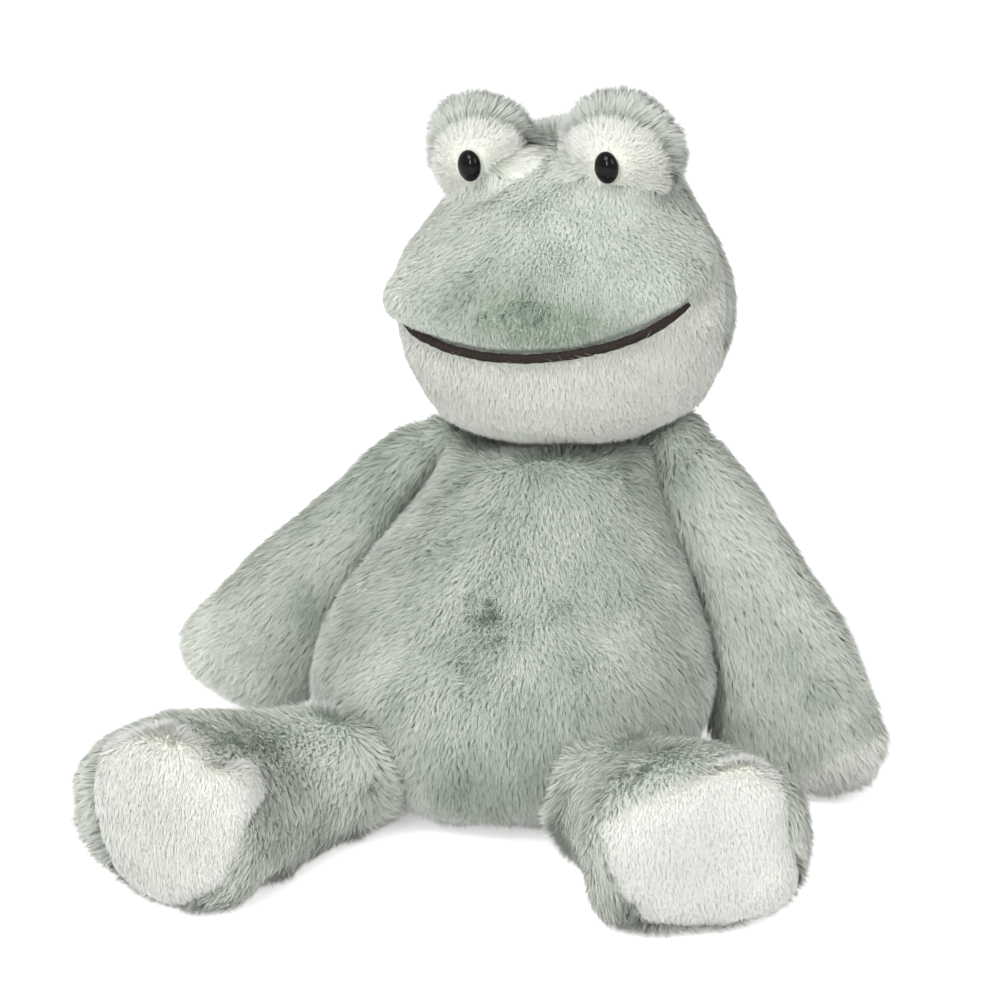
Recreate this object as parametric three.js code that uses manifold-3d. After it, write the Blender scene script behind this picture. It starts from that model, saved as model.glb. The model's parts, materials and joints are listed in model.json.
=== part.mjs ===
// A plush frog that sits on the floor, faces -Y and has its left hand towards +X.
// Lengths are in millimetres and angles in degrees. Each stuffed part is a sewn cover around its own filling.

import * as THREE from 'three';
import { mergeVertices } from 'three/addons/utils/BufferGeometryUtils.js';
import Module from 'manifold-3d';

const wasm = await Module();
wasm.setup();

// Cloth with its pile, seams and cutting
const coverThickness = 9;
const seamGap = 0.4;
const jointGap = 0.7;
const fillingGap = 0.8;
const cutOverrun = 300;
const floorPress = 0.5;

// Torso, a pear that leans back over its seat
const torsoHeight = 161;
const torsoHalfWidth = 95;
const torsoHalfDepth = 84;
const torsoLean = 54;
const torsoSideLean = 12;
// Shares of the height, the half width, the half depth and the lean
const torsoRibShares = [
  [0, 0, 0, 0],
  [0.004, 0.46, 0.46, 0],
  [0.07, 0.8, 0.8, 0],
  [0.2, 0.97, 0.96, 0.03],
  [0.36, 1, 1, 0.12],
  [0.52, 0.92, 0.93, 0.3],
  [0.68, 0.76, 0.77, 0.52],
  [0.82, 0.62, 0.63, 0.74],
  [0.93, 0.5, 0.48, 0.9],
  [0.985, 0.32, 0.32, 0.98],
  [1, 0, 0, 1],
];

// Pouch of pellets that weights the seat
const pouchRadius = 42;
const pouchHalfHeight = 13;
const pouchLift = 30;
const pouchWayInRadius = 2;

// Neck, the gathered joint that the head turns and nods on
const neckRadius = 26;
const neckTubeRadius = 15;
const neckTubeLength = 34;
const neckLift = 14;
const headRoomDrop = 23;
const headRoomFlat = 30;
const headRoomRadius = 66;
const headRoomRise = 10;

// Head, with its chin over the neck
const headHeight = 142;
const headHalfWidth = 83;
const headHalfDepth = 66;
const headForward = 2;
const headLift = -4;
const headSideStep = 5;
const headTilt = 4;
const headTurn = -13;
// Shares of the height, the half width, the half depth and how far back of half the depth
const headRibShares = [
  [0, 0, 0, 0.1],
  [0.02, 0.46, 0.54, 0.09],
  [0.12, 0.82, 0.86, 0.06],
  [0.28, 0.96, 0.97, 0.04],
  [0.44, 1, 1, 0.04],
  [0.58, 0.95, 0.95, 0.08],
  [0.71, 0.82, 0.8, 0.2],
  [0.83, 0.66, 0.67, 0.32],
  [0.93, 0.46, 0.47, 0.43],
  [0.985, 0.25, 0.24, 0.5],
  [1, 0, 0, 0.52],
];

// Mouth, a cord laid where the lip meets the jaw
const mouthLift = 53;
const mouthSlope = 23;
const mouthThickness = 5;
const mouthDepth = 50;
const cordRoom = 2.5;
const jawInset = 4;
const backSeamBehind = 26;

// Eye bumps, each a green rim and a white front around a filling
const bumpSpacing = 34;
const bumpHalfWidth = 28;
const bumpHalfDepth = 20;
const bumpHalfHeight = 29;
const bumpBack = 3;
const bumpDrop = 8;
const bumpFrontStep = 13;
const bumpCover = 6;

// Safety eyes, each a dome on a shank with a washer behind the cloth
const eyeRadius = 6.5;
const eyeDome = 4.5;
const eyeSink = 1;
const eyeRaise = -3;
const shankRadius = 1.8;
const shankLength = 14;
const washerRadius = 6;
const washerThickness = 1.8;
const eyeSides = 14;
const domeRings = 4;

// Arms, flat and flaring to the hand, hinged at the top of the side seams
const armLength = 159;
const armHalfWidth = 38;
const armHalfDepth = 19;
const shoulderSpacing = 55;
const shoulderDrop = { left: 10, right: 12 };
const shoulderRaise = { left: 33, right: 37 };
const handRaise = { left: 25, right: 43 };
const handForward = { left: 50, right: 32 };
// Shares of the length, the half width and the half depth
const armRibShares = [
  [0, 0, 0],
  [0.03, 0.38, 0.5],
  [0.12, 0.58, 0.82],
  [0.3, 0.72, 1],
  [0.5, 0.84, 1],
  [0.7, 0.95, 0.95],
  [0.86, 1, 0.82],
  [0.96, 0.92, 0.6],
  [0.995, 0.6, 0.34],
  [1, 0, 0],
];
const swingForward = 15;
const swingBack = 45;
const swingStep = 5;
const palmLength = 50;
const gatherRadius = 8;

// Legs, tubes that end in a foot with its sole forwards
const legReach = { left: 96, right: 123 };
const legRoot = { left: 42, right: 40 };
const legHalfWidth = 32;
const legHalfHeight = 32;
const hipSplay = { left: 52, right: 60 };
const footSplay = { left: 24, right: 17 };
const hipSideways = { left: 59, right: -66 };
const hipForward = { left: 58, right: 58 };
const hipHeight = 50;
const legLift = 60;
const liftStep = 15;
const footHalfWidth = 48;
const footHalfHeight = 41;
const footFlareShare = 0.14;
const soleThickness = 7;
// Shares of the length, the half width, the half height and the swelling from leg to foot
const legRibShares = [
  [0, 0, 0, 0],
  [0.03, 0.6, 0.6, 0],
  [0.12, 0.86, 0.86, 0],
  [0.3, 0.96, 0.96, 0],
  [0.5, 1, 1, 0.06],
  [0.66, 1, 1, 0.4],
  [0.79, 1, 1, 0.85],
  [0.9, 1, 1, 1],
  [0.975, 0.9, 0.9, 1],
  [0.998, 0.6, 0.6, 1],
  [1, 0, 0, 1],
];

// How finely the forms are faceted
const bodySides = 26;
const bodyRings = 15;
const limbSides = 16;
const limbRings = 13;
const innerSides = 12;
const innerRings = 9;
const jointSides = 20;
const jointRings = 12;

const sideNames = ['left', 'right'];
const signOf = { left: 1, right: -1 };
const rad = THREE.MathUtils.degToRad;
const xAxis = new THREE.Vector3(1, 0, 0);
const yAxis = new THREE.Vector3(0, 1, 0);
const zAxis = new THREE.Vector3(0, 0, 1);
const colours = {
  green: 0xb4c3b7,
  paleGreen: 0xc6d1c9,
  white: 0xeef0ea,
  cord: 0x3b3431,
  eye: 0x0b0b0d,
  nylon: 0xe4e4de,
  filling: 0xf6f6f2,
  calico: 0xddd6c6,
};

function matt(colour) {
  return new THREE.MeshStandardMaterial({ color: colour, roughness: 1, metalness: 0 });
}

function glossy(colour) {
  return new THREE.MeshStandardMaterial({ color: colour, roughness: 0.08, metalness: 0 });
}

// A closed geometry as a solid that can be joined and cut
function solidOf(geometry) {
  const bare = geometry.clone();
  bare.deleteAttribute('normal');
  bare.deleteAttribute('uv');
  const merged = mergeVertices(bare);
  const vertProperties = new Float32Array(merged.attributes.position.array);
  const triVerts = new Uint32Array(merged.index.array);
  return new wasm.Manifold(new wasm.Mesh({ numProp: 3, vertProperties, triVerts }));
}

function geometryOf(solid) {
  const mesh = solid.getMesh();
  const geometry = new THREE.BufferGeometry();
  geometry.setAttribute('position', new THREE.BufferAttribute(new Float32Array(mesh.vertProperties), 3));
  geometry.setIndex(new THREE.BufferAttribute(new Uint32Array(mesh.triVerts), 1));
  geometry.computeVertexNormals();
  return geometry;
}

// Everything on the side of a plane that its normal points to
function halfSpace(point, normal) {
  const box = new THREE.BoxGeometry(cutOverrun * 2, cutOverrun * 2, cutOverrun);
  box.translate(0, 0, cutOverrun / 2);
  box.applyQuaternion(new THREE.Quaternion().setFromUnitVectors(zAxis, normal.clone().normalize()));
  box.translate(point.x, point.y, point.z);
  return solidOf(box);
}

// A ball about a point
function ballAt(point, radius) {
  const ball = new THREE.SphereGeometry(radius, jointSides, jointRings);
  ball.translate(point.x, point.y, point.z);
  return ball;
}

// A closed form that swells and tapers: ribs of half width, half depth and flare strung along a path,
// square to the path or, where a way is given, square to that
function stuffedForm(ribs, sides, rings, inset, way) {
  const path = new THREE.CatmullRomCurve3(ribs.map((rib) => rib.at));
  const sizes = new THREE.CatmullRomCurve3(ribs.map((rib) => rib.size));
  const sphere = new THREE.SphereGeometry(1, sides, rings);
  sphere.deleteAttribute('normal');
  sphere.deleteAttribute('uv');
  const places = sphere.attributes.position;
  const point = new THREE.Vector3();
  for (let i = 0; i < places.count; i += 1) {
    point.fromBufferAttribute(places, i);
    const reach = Math.hypot(point.x, point.z) || 1;
    const along = Math.acos(THREE.MathUtils.clamp(-point.y, -1, 1)) / Math.PI;
    const size = sizes.getPoint(along);
    const ahead = way ?? path.getTangent(along);
    const across = xAxis.clone().addScaledVector(ahead, -ahead.x).normalize();
    const outward = new THREE.Vector3().crossVectors(ahead, across);
    const deeper = -point.z / reach;
    const wider = (point.x / reach) * (1 + size.z * deeper);
    const place = path.getPoint(along);
    place.addScaledVector(across, Math.max(size.x, 0) * wider);
    place.addScaledVector(outward, Math.max(size.y, 0) * deeper);
    places.setXYZ(i, place.x, place.y, place.z);
  }
  const form = mergeVertices(sphere);
  form.computeVertexNormals();
  const normal = new THREE.Vector3();
  for (let i = 0; i < form.attributes.position.count; i += 1) {
    point.fromBufferAttribute(form.attributes.position, i);
    normal.fromBufferAttribute(form.attributes.normal, i);
    point.addScaledVector(normal, -inset);
    form.attributes.position.setXYZ(i, point.x, point.y, point.z);
  }
  return form;
}

// The ribs of the same form drawn in evenly: thinner, and shorter at both ends
function drawnIn(ribs, inset) {
  const path = new THREE.CatmullRomCurve3(ribs.map((rib) => rib.at));
  const sizes = new THREE.CatmullRomCurve3(ribs.map((rib) => rib.size));
  const trim = inset / path.getLength();
  const start = path.getUtoTmapping(trim);
  const end = path.getUtoTmapping(1 - trim);
  return ribs.map((rib, i) => {
    const along = THREE.MathUtils.lerp(start, end, i / (ribs.length - 1));
    const size = sizes.getPoint(along);
    return { at: path.getPoint(along), size: new THREE.Vector3(size.x - inset, size.y - inset, size.z) };
  });
}

// The torso's form over the middle of its seat
function torsoForm(inset, sides = bodySides, rings = bodyRings) {
  const ribs = torsoRibShares.map(([height, width, depth, lean]) => ({
    at: new THREE.Vector3(torsoSideLean * lean, torsoLean * lean, torsoHeight * height - floorPress),
    size: new THREE.Vector3(torsoHalfWidth * width, torsoHalfDepth * depth, 0),
  }));
  return stuffedForm(ribs, sides, rings, inset, zAxis);
}

// The head's form over its chin
function headForm(inset, sides = bodySides, rings = bodyRings) {
  const ribs = headRibShares.map(([height, width, depth, back]) => ({
    at: new THREE.Vector3(0, headHalfDepth * back, headHeight * height),
    size: new THREE.Vector3(headHalfWidth * width, headHalfDepth * depth, 0),
  }));
  return stuffedForm(ribs, sides, rings, inset, zAxis);
}

// An eye bump's form about its own middle
function bumpForm(inset, sides = limbSides, rings = limbRings) {
  const bump = new THREE.SphereGeometry(1, sides, rings);
  bump.scale(bumpHalfWidth - inset, bumpHalfDepth - inset, bumpHalfHeight - inset);
  return bump;
}

// A limb's middle line: it leaves its root one way, passes its joint and ends another way
function limbLine(startWay, endWay, root, reach) {
  const start = startWay.clone().multiplyScalar(-root);
  const bend = startWay.clone().multiplyScalar(reach / 2 - root / 2);
  const end = bend.clone().addScaledVector(endWay, (root + reach) / 2);
  return new THREE.QuadraticBezierCurve3(start, bend, end);
}

// The way of an arm that is raised sideways from hanging straight down
function armWay(sign, raise) {
  return new THREE.Vector3(sign * Math.sin(rad(raise)), 0, -Math.cos(rad(raise)));
}

// The way of a leg that is splayed sideways from straight ahead
function legWay(sign, splay) {
  return new THREE.Vector3(sign * Math.sin(rad(splay)), -Math.cos(rad(splay)), 0);
}

function armLine(side) {
  const sign = signOf[side];
  const line = limbLine(armWay(sign, shoulderRaise[side]), armWay(sign, handRaise[side]), 0, armLength);
  line.v2.y -= handForward[side];
  return line;
}

function legLine(side) {
  const sign = signOf[side];
  return limbLine(legWay(sign, hipSplay[side]), legWay(sign, footSplay[side]), legRoot[side], legReach[side]);
}

// An arm's form below its shoulder
function armForm(side, inset, sides = limbSides, rings = limbRings) {
  const line = armLine(side);
  const ribs = armRibShares.map(([down, width, depth]) => ({
    at: line.getPoint(down),
    size: new THREE.Vector3(armHalfWidth * width, armHalfDepth * depth, 0),
  }));
  return stuffedForm(drawnIn(ribs, inset), sides, rings, 0);
}

// A leg's form through its hip, lying on the floor
function legForm(side, inset, sides = limbSides, rings = limbRings) {
  const line = legLine(side);
  const ribs = legRibShares.map(([forward, width, height, foot]) => {
    const halfWidth = THREE.MathUtils.lerp(legHalfWidth, footHalfWidth, foot);
    const halfHeight = THREE.MathUtils.lerp(legHalfHeight, footHalfHeight, foot);
    const at = line.getPoint(forward);
    at.z = halfHeight - floorPress - hipHeight;
    return { at, size: new THREE.Vector3(halfWidth * width, halfHeight * height, footFlareShare * foot) };
  });
  return stuffedForm(ribs, sides, rings, inset);
}

// The same geometry seen from a group's own frame
function seenFrom(group, geometry) {
  group.updateMatrix();
  return geometry.clone().applyMatrix4(group.matrix.clone().invert());
}

// A sewn cover's shell and the filling that it holds
function coverOf(form, thickness = coverThickness) {
  return solidOf(form(0)).subtract(solidOf(form(thickness, innerSides, innerRings)));
}

function fillingOf(form, thickness = coverThickness) {
  return solidOf(form(thickness + fillingGap, innerSides, innerRings));
}

// The two sides of a seam, with a gap between them
function aheadOfSeam(point, normal) {
  return halfSpace(point.clone().addScaledVector(normal, seamGap / 2), normal);
}

function behindSeam(point, normal) {
  return aheadOfSeam(point, normal.clone().negate());
}

// A solid less each of a list of rooms
function without(solid, rooms) {
  return rooms.reduce((rest, room) => rest.subtract(room), solid);
}

const frog = new THREE.Group();

function addPiece(parent, name, solid, material) {
  const mesh = new THREE.Mesh(geometryOf(solid), material);
  mesh.name = name;
  parent.add(mesh);
}

const aboveFloor = halfSpace(new THREE.Vector3(), zAxis);
const neckPoint = new THREE.Vector3(torsoSideLean, torsoLean, torsoHeight + neckLift);

// Neck, a gathered ball on a stalk that is sewn into the torso's top
const neck = new THREE.Group();
neck.position.copy(neckPoint);

function neckForm(gap) {
  const radius = neckTubeRadius + gap;
  const length = neckTubeLength + gap;
  const stalk = new THREE.CylinderGeometry(radius, radius, length, jointSides);
  stalk.rotateX(Math.PI / 2);
  stalk.translate(0, 0, -length / 2);
  return solidOf(ballAt(new THREE.Vector3(), neckRadius + gap)).add(solidOf(stalk));
}

addPiece(neck, 'neck_gather', neckForm(0), matt(colours.green));
frog.add(neck);

// The room over the torso that the head sweeps as it turns and nods: a shallow bowl around the neck
function headRoom() {
  const profile = [
    new THREE.Vector2(0, -headRoomDrop),
    new THREE.Vector2(headRoomFlat, -headRoomDrop),
    new THREE.Vector2(headRoomRadius, headRoomRise - headRoomDrop),
    new THREE.Vector2(headRoomRadius, headHeight),
    new THREE.Vector2(0, headHeight),
  ];
  const bowl = new THREE.LatheGeometry(profile, jointSides);
  bowl.rotateX(Math.PI / 2);
  return solidOf(bowl.translate(neckPoint.x, neckPoint.y, neckPoint.z));
}

// Torso, a front and a back panel around the filling, with the pellet pouch low in the seat
function neckRoomInTorso() {
  return solidOf(geometryOf(neckForm(jointGap)).translate(neckPoint.x, neckPoint.y, neckPoint.z));
}

function shoulderPoint(side) {
  const sideways = torsoSideLean + signOf[side] * shoulderSpacing;
  return new THREE.Vector3(sideways, torsoLean, torsoHeight - shoulderDrop[side]);
}

function pouchForm(gap) {
  const pouch = new THREE.SphereGeometry(1, innerSides, innerRings);
  pouch.scale(pouchRadius + gap, pouchRadius + gap, pouchHalfHeight + gap);
  pouch.translate(0, 0, pouchLift);
  return pouch;
}

// The passage that the pouch was put in by, sewn up only at the cover
function pouchWayIn() {
  const passage = new THREE.CylinderGeometry(pouchWayInRadius, pouchWayInRadius, pouchLift, innerSides);
  passage.rotateX(Math.PI / 2);
  passage.translate(0, 0, pouchLift / 2);
  return solidOf(passage);
}

const torsoMiddle = new THREE.Vector3();
const torsoSeam = new THREE.Vector3(0, torsoHeight, -torsoLean).normalize();
const torsoRooms = [neckRoomInTorso(), headRoom()];
for (const side of sideNames) {
  torsoRooms.push(solidOf(ballAt(shoulderPoint(side), gatherRadius + jointGap)));
}
const torsoCover = without(coverOf(torsoForm).intersect(aboveFloor), torsoRooms);
const pouchRooms = [solidOf(pouchForm(seamGap)), pouchWayIn()];
const torsoFilling = without(fillingOf(torsoForm), [...torsoRooms, ...pouchRooms]);
addPiece(frog, 'torso_front', torsoCover.intersect(behindSeam(torsoMiddle, torsoSeam)), matt(colours.green));
addPiece(frog, 'torso_back', torsoCover.intersect(aheadOfSeam(torsoMiddle, torsoSeam)), matt(colours.green));
addPiece(frog, 'torso_filling', torsoFilling, matt(colours.filling));
addPiece(frog, 'pellet_pouch', solidOf(pouchForm(0)), matt(colours.calico));

// A safety eye as a turned profile about its shank: a dome, a flat back and the shank
function eyeForm(gap) {
  const profile = [
    new THREE.Vector2(0, -shankLength - gap),
    new THREE.Vector2(shankRadius + gap, -shankLength - gap),
    new THREE.Vector2(shankRadius + gap, -gap),
  ];
  for (let ring = 0; ring <= domeRings; ring += 1) {
    const angle = (ring / domeRings) * (Math.PI / 2);
    const radius = ring === domeRings ? 0 : (eyeRadius + gap) * Math.cos(angle);
    profile.push(new THREE.Vector2(radius, (ring === 0 ? -gap : 0) + (eyeDome + gap) * Math.sin(angle)));
  }
  const eye = new THREE.LatheGeometry(profile, eyeSides);
  eye.rotateX(Math.PI);
  return eye;
}

// The washer that is pressed onto the shank behind the cloth
function washerForm(gap) {
  const inner = shankRadius + seamGap - gap;
  const outer = washerRadius + gap;
  const near = eyeSink - bumpCover - seamGap + gap;
  const far = near - washerThickness - gap * 2;
  const corners = [[inner, far], [outer, far], [outer, near], [inner, near], [inner, far]];
  const profile = corners.map(([radius, along]) => new THREE.Vector2(radius, along));
  const washer = new THREE.LatheGeometry(profile, eyeSides);
  washer.rotateX(Math.PI);
  return washer;
}

// An eye bump's middle, and a piece put where the eye sits on a bump
function bumpPlace(side) {
  return new THREE.Vector3(signOf[side] * bumpSpacing, bumpBack, headHeight - bumpDrop);
}

function atEye(geometry, bumpMiddle) {
  const eyePlace = bumpMiddle.clone().add(new THREE.Vector3(0, eyeSink - bumpHalfDepth, eyeRaise));
  return solidOf(geometry.translate(eyePlace.x, eyePlace.y, eyePlace.z));
}

function eyeRoom(bumpMiddle) {
  return atEye(eyeForm(seamGap), bumpMiddle).add(atEye(washerForm(seamGap), bumpMiddle));
}

// Head, turned and tilted a little on the neck
const head = new THREE.Group();
head.position.set(torsoSideLean + headSideStep, torsoLean - headForward, torsoHeight + headLift);
head.rotation.set(0, rad(-headTilt), rad(headTurn));
frog.add(head);

const neckRoomInHead = solidOf(seenFrom(head, ballAt(neckPoint, neckRadius + jointGap)));
const mouthFront = new THREE.Vector3(0, -headHalfDepth, mouthLift);
const mouthUp = new THREE.Vector3(0, -Math.sin(rad(mouthSlope)), Math.cos(rad(mouthSlope)));
const backSeam = new THREE.Vector3(0, backSeamBehind, 0);
const upperHalf = aheadOfSeam(mouthFront, mouthUp);
const lowerHalf = behindSeam(mouthFront, mouthUp);
const faceHalf = behindSeam(backSeam, yAxis);

// The slab that the mouth's cord lies in, from the lip back to the corners of the mouth
function mouthSlab(gap) {
  const depth = mouthDepth + cutOverrun + gap;
  const slab = new THREE.BoxGeometry(cutOverrun, depth, mouthThickness + gap * 2);
  slab.translate(0, mouthDepth + gap - depth / 2, 0);
  slab.rotateX(rad(mouthSlope));
  slab.translate(mouthFront.x, mouthFront.y, mouthFront.z);
  return solidOf(slab);
}

const fillingRoomInHead = solidOf(headForm(coverThickness, innerSides, innerRings));
const headCover = coverOf(headForm).subtract(neckRoomInHead);
const jawCover = solidOf(headForm(jawInset)).subtract(fillingRoomInHead);
const cordRing = solidOf(headForm(jawInset - cordRoom)).subtract(fillingRoomInHead);
const slot = mouthSlab(seamGap);
const eyeRoomsInHead = sideNames.map((side) => eyeRoom(bumpPlace(side)));
const crown = without(headCover.intersect(upperHalf).intersect(faceHalf), [slot, ...eyeRoomsInHead]);
const headFilling = without(fillingOf(headForm), [neckRoomInHead, ...eyeRoomsInHead]);
const jaw = without(jawCover.intersect(lowerHalf).intersect(faceHalf), [neckRoomInHead, slot]);
addPiece(head, 'head_crown', crown, matt(colours.paleGreen));
addPiece(head, 'head_back', headCover.intersect(aheadOfSeam(backSeam, yAxis)), matt(colours.green));
addPiece(head, 'head_jaw', jaw, matt(colours.white));
addPiece(head, 'mouth_cord', cordRing.intersect(mouthSlab(0)), matt(colours.cord));
addPiece(head, 'head_filling', headFilling, matt(colours.filling));

// Eye bumps, sewn onto the crown
for (const side of sideNames) {
  const bump = new THREE.Group();
  bump.position.copy(bumpPlace(side));
  head.add(bump);
  const crownRoom = solidOf(seenFrom(bump, headForm(-seamGap)));
  const middle = new THREE.Vector3();
  const frontSeam = new THREE.Vector3(0, -bumpFrontStep, 0);
  const rooms = [crownRoom, eyeRoom(middle)];
  const cover = without(coverOf(bumpForm, bumpCover), rooms);
  const filling = without(fillingOf(bumpForm, bumpCover), rooms);
  addPiece(bump, `eye_rim_${side}`, cover.intersect(aheadOfSeam(frontSeam, yAxis)), matt(colours.green));
  addPiece(bump, `eye_white_${side}`, cover.intersect(behindSeam(frontSeam, yAxis)), matt(colours.white));
  addPiece(bump, `eye_filling_${side}`, filling, matt(colours.filling));
  addPiece(bump, `safety_eye_${side}`, atEye(eyeForm(0), middle), glossy(colours.eye));
  addPiece(bump, `eye_washer_${side}`, atEye(washerForm(0), middle), matt(colours.nylon));
}

// Arms, cut clear of the torso wherever they swing past it, each with a pale palm turned to the back
for (const side of sideNames) {
  const shoulder = new THREE.Group();
  shoulder.position.copy(shoulderPoint(side));
  frog.add(shoulder);
  const torsoInPlace = seenFrom(shoulder, torsoForm(-seamGap));
  const line = armLine(side);
  const handWay = line.getTangent(1);
  const palmWay = yAxis.clone().addScaledVector(handWay, -handWay.y).normalize();
  const palmStart = line.v2.clone().addScaledVector(handWay, -palmLength);
  const palmSide = aheadOfSeam(palmStart, palmWay).intersect(aheadOfSeam(palmStart, handWay));
  const beforePalm = behindSeam(palmStart, palmWay).add(behindSeam(palmStart, handWay));
  const joint = new THREE.Vector3();
  const rooms = [solidOf(ballAt(joint, gatherRadius + jointGap))];
  for (let swing = -swingBack; swing <= swingForward; swing += swingStep) {
    rooms.push(solidOf(torsoInPlace.clone().rotateX(rad(swing))));
  }
  const cover = without(coverOf((...sizes) => armForm(side, ...sizes)), rooms);
  const filling = without(fillingOf((...sizes) => armForm(side, ...sizes)), rooms);
  addPiece(shoulder, `shoulder_gather_${side}`, solidOf(ballAt(joint, gatherRadius)), matt(colours.green));
  addPiece(shoulder, `arm_cover_${side}`, cover.intersect(beforePalm), matt(colours.green));
  addPiece(shoulder, `palm_${side}`, cover.intersect(palmSide), matt(colours.white));
  addPiece(shoulder, `arm_filling_${side}`, filling, matt(colours.filling));
}

// Legs, cut clear of the torso wherever they lift past it
for (const side of sideNames) {
  const hip = new THREE.Group();
  hip.position.set(hipSideways[side], -hipForward[side], hipHeight);
  frog.add(hip);
  const torsoInPlace = seenFrom(hip, torsoForm(-seamGap));
  const line = legLine(side);
  const footWay = line.getTangent(1);
  const soleStart = line.v2.clone().addScaledVector(footWay, -soleThickness);
  const aboveSole = halfSpace(new THREE.Vector3(0, 0, -hipHeight), zAxis);
  const liftAxis = new THREE.Vector3().crossVectors(line.getTangent(0), zAxis).normalize();
  const rooms = [];
  for (let lift = 0; lift <= legLift; lift += liftStep) {
    const turn = new THREE.Matrix4().makeRotationAxis(liftAxis, rad(-lift));
    rooms.push(solidOf(torsoInPlace.clone().applyMatrix4(turn)));
  }
  const cover = without(coverOf((...sizes) => legForm(side, ...sizes)).intersect(aboveSole), rooms);
  const filling = without(fillingOf((...sizes) => legForm(side, ...sizes)), rooms);
  addPiece(hip, `leg_cover_${side}`, cover.intersect(behindSeam(soleStart, footWay)), matt(colours.green));
  addPiece(hip, `sole_${side}`, cover.intersect(aheadOfSeam(soleStart, footWay)), matt(colours.white));
  addPiece(hip, `leg_filling_${side}`, filling, matt(colours.filling));
}

// Stand the middle of the frog's outline over the origin
const extent = new THREE.Box3().setFromObject(frog, true);
frog.position.set(-(extent.min.x + extent.max.x) / 2, -(extent.min.y + extent.max.y) / 2, 0);

export default frog;
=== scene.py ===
import json
import math
import time

import bpy
import numpy as np
from mathutils import Matrix, Vector
from mathutils.bvhtree import BVHTree
from mathutils.kdtree import KDTree


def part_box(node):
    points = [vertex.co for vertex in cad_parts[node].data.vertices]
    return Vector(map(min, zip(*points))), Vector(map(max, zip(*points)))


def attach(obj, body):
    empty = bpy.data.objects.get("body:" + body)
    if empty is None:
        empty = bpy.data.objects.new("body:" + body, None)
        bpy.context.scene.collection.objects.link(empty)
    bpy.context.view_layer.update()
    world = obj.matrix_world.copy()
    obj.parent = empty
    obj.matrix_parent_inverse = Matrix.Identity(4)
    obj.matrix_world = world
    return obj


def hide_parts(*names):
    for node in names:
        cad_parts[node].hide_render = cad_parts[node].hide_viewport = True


# Plush frog: sewn covers with their pile, filling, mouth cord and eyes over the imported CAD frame.
# The CAD is in metres and faces -Y; the builders below work in metres too and write lengths as mm * number.
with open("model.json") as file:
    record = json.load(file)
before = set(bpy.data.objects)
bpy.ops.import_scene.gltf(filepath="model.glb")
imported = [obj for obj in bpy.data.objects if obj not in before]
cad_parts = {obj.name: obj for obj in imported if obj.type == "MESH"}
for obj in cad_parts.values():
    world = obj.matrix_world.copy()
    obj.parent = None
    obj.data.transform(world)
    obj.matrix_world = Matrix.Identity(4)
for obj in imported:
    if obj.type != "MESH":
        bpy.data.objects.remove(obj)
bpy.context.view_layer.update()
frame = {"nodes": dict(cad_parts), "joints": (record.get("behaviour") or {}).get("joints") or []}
nodes = frame["nodes"]
mm = 0.001
startTime = time.time()
sides = ["left", "right"]


def say(text):
    print("stage:", text, f"{time.time() - startTime:.1f} s", flush=True)


# Colours and materials
# sRGB hex as in a paint program, turned to scene linear
def linear(hexColour):
    parts = [int(hexColour[i:i + 2], 16) / 255 for i in (1, 3, 5)]
    return [c / 12.92 if c <= 0.04045 else ((c + 0.055) / 1.055) ** 2.4 for c in parts] + [1.0]


def newMaterial(name):
    material = bpy.data.materials.new(name)
    material.use_nodes = True
    return material, material.node_tree, material.node_tree.nodes["Principled BSDF"]


# A node's settings, by attribute or by input
def setNode(node, settings):
    for key, value in dict(settings).items():
        if isinstance(key, str) and hasattr(node, key):
            setattr(node, key, value)
        else:
            node.inputs[key].default_value = value


# One node with its settings, and its links as (input, node, output)
def addNode(tree, kind, settings=(), links=()):
    node = tree.nodes.new(kind)
    setNode(node, settings)
    for key, source, output in links:
        tree.links.new(source.outputs[output], node.inputs[key])
    return node


def setRamp(node, places, colours):
    ramp = node.color_ramp
    while len(ramp.elements) < len(places):
        ramp.elements.new(0.5)
    for element, place, colour in zip(ramp.elements, places, colours):
        element.position = place
        element.color = linear(colour)


# Pile: the colour runs from root to tip along V, darker at the root partly as painted shade deep in the pile,
# and along U from darker to frosted tufts, set by painted light and shade and by random mottle, so the fibres
# read as separate dark-rooted, light-tipped hairs
def pileMaterial(name, rootToTip, shades, sheen=0.45):
    material, tree, shader = newMaterial(name)
    uv = addNode(tree, "ShaderNodeUVMap", {"uv_map": "OFBake"})
    parts = addNode(tree, "ShaderNodeSeparateXYZ", links=[(0, uv, 0)])
    along = addNode(tree, "ShaderNodeValToRGB", links=[(0, parts, 1)])
    setRamp(along, [0.0, 0.5, 0.95], rootToTip)
    shade = addNode(tree, "ShaderNodeValToRGB", links=[(0, parts, 0)])
    setRamp(shade, [0.0, 0.55, 1.0], shades)
    mixed = addNode(tree, "ShaderNodeMix", {"data_type": "RGBA", "blend_type": "MULTIPLY", 0: 1.0},
                    [(6, along, 0), (7, shade, 0)])
    tree.links.new(mixed.outputs[2], shader.inputs["Base Color"])
    setNode(shader, {"Roughness": 0.75, "Specular IOR Level": 0.25, "Sheen Weight": sheen,
                     "Sheen Roughness": 0.5})
    return material


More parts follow.
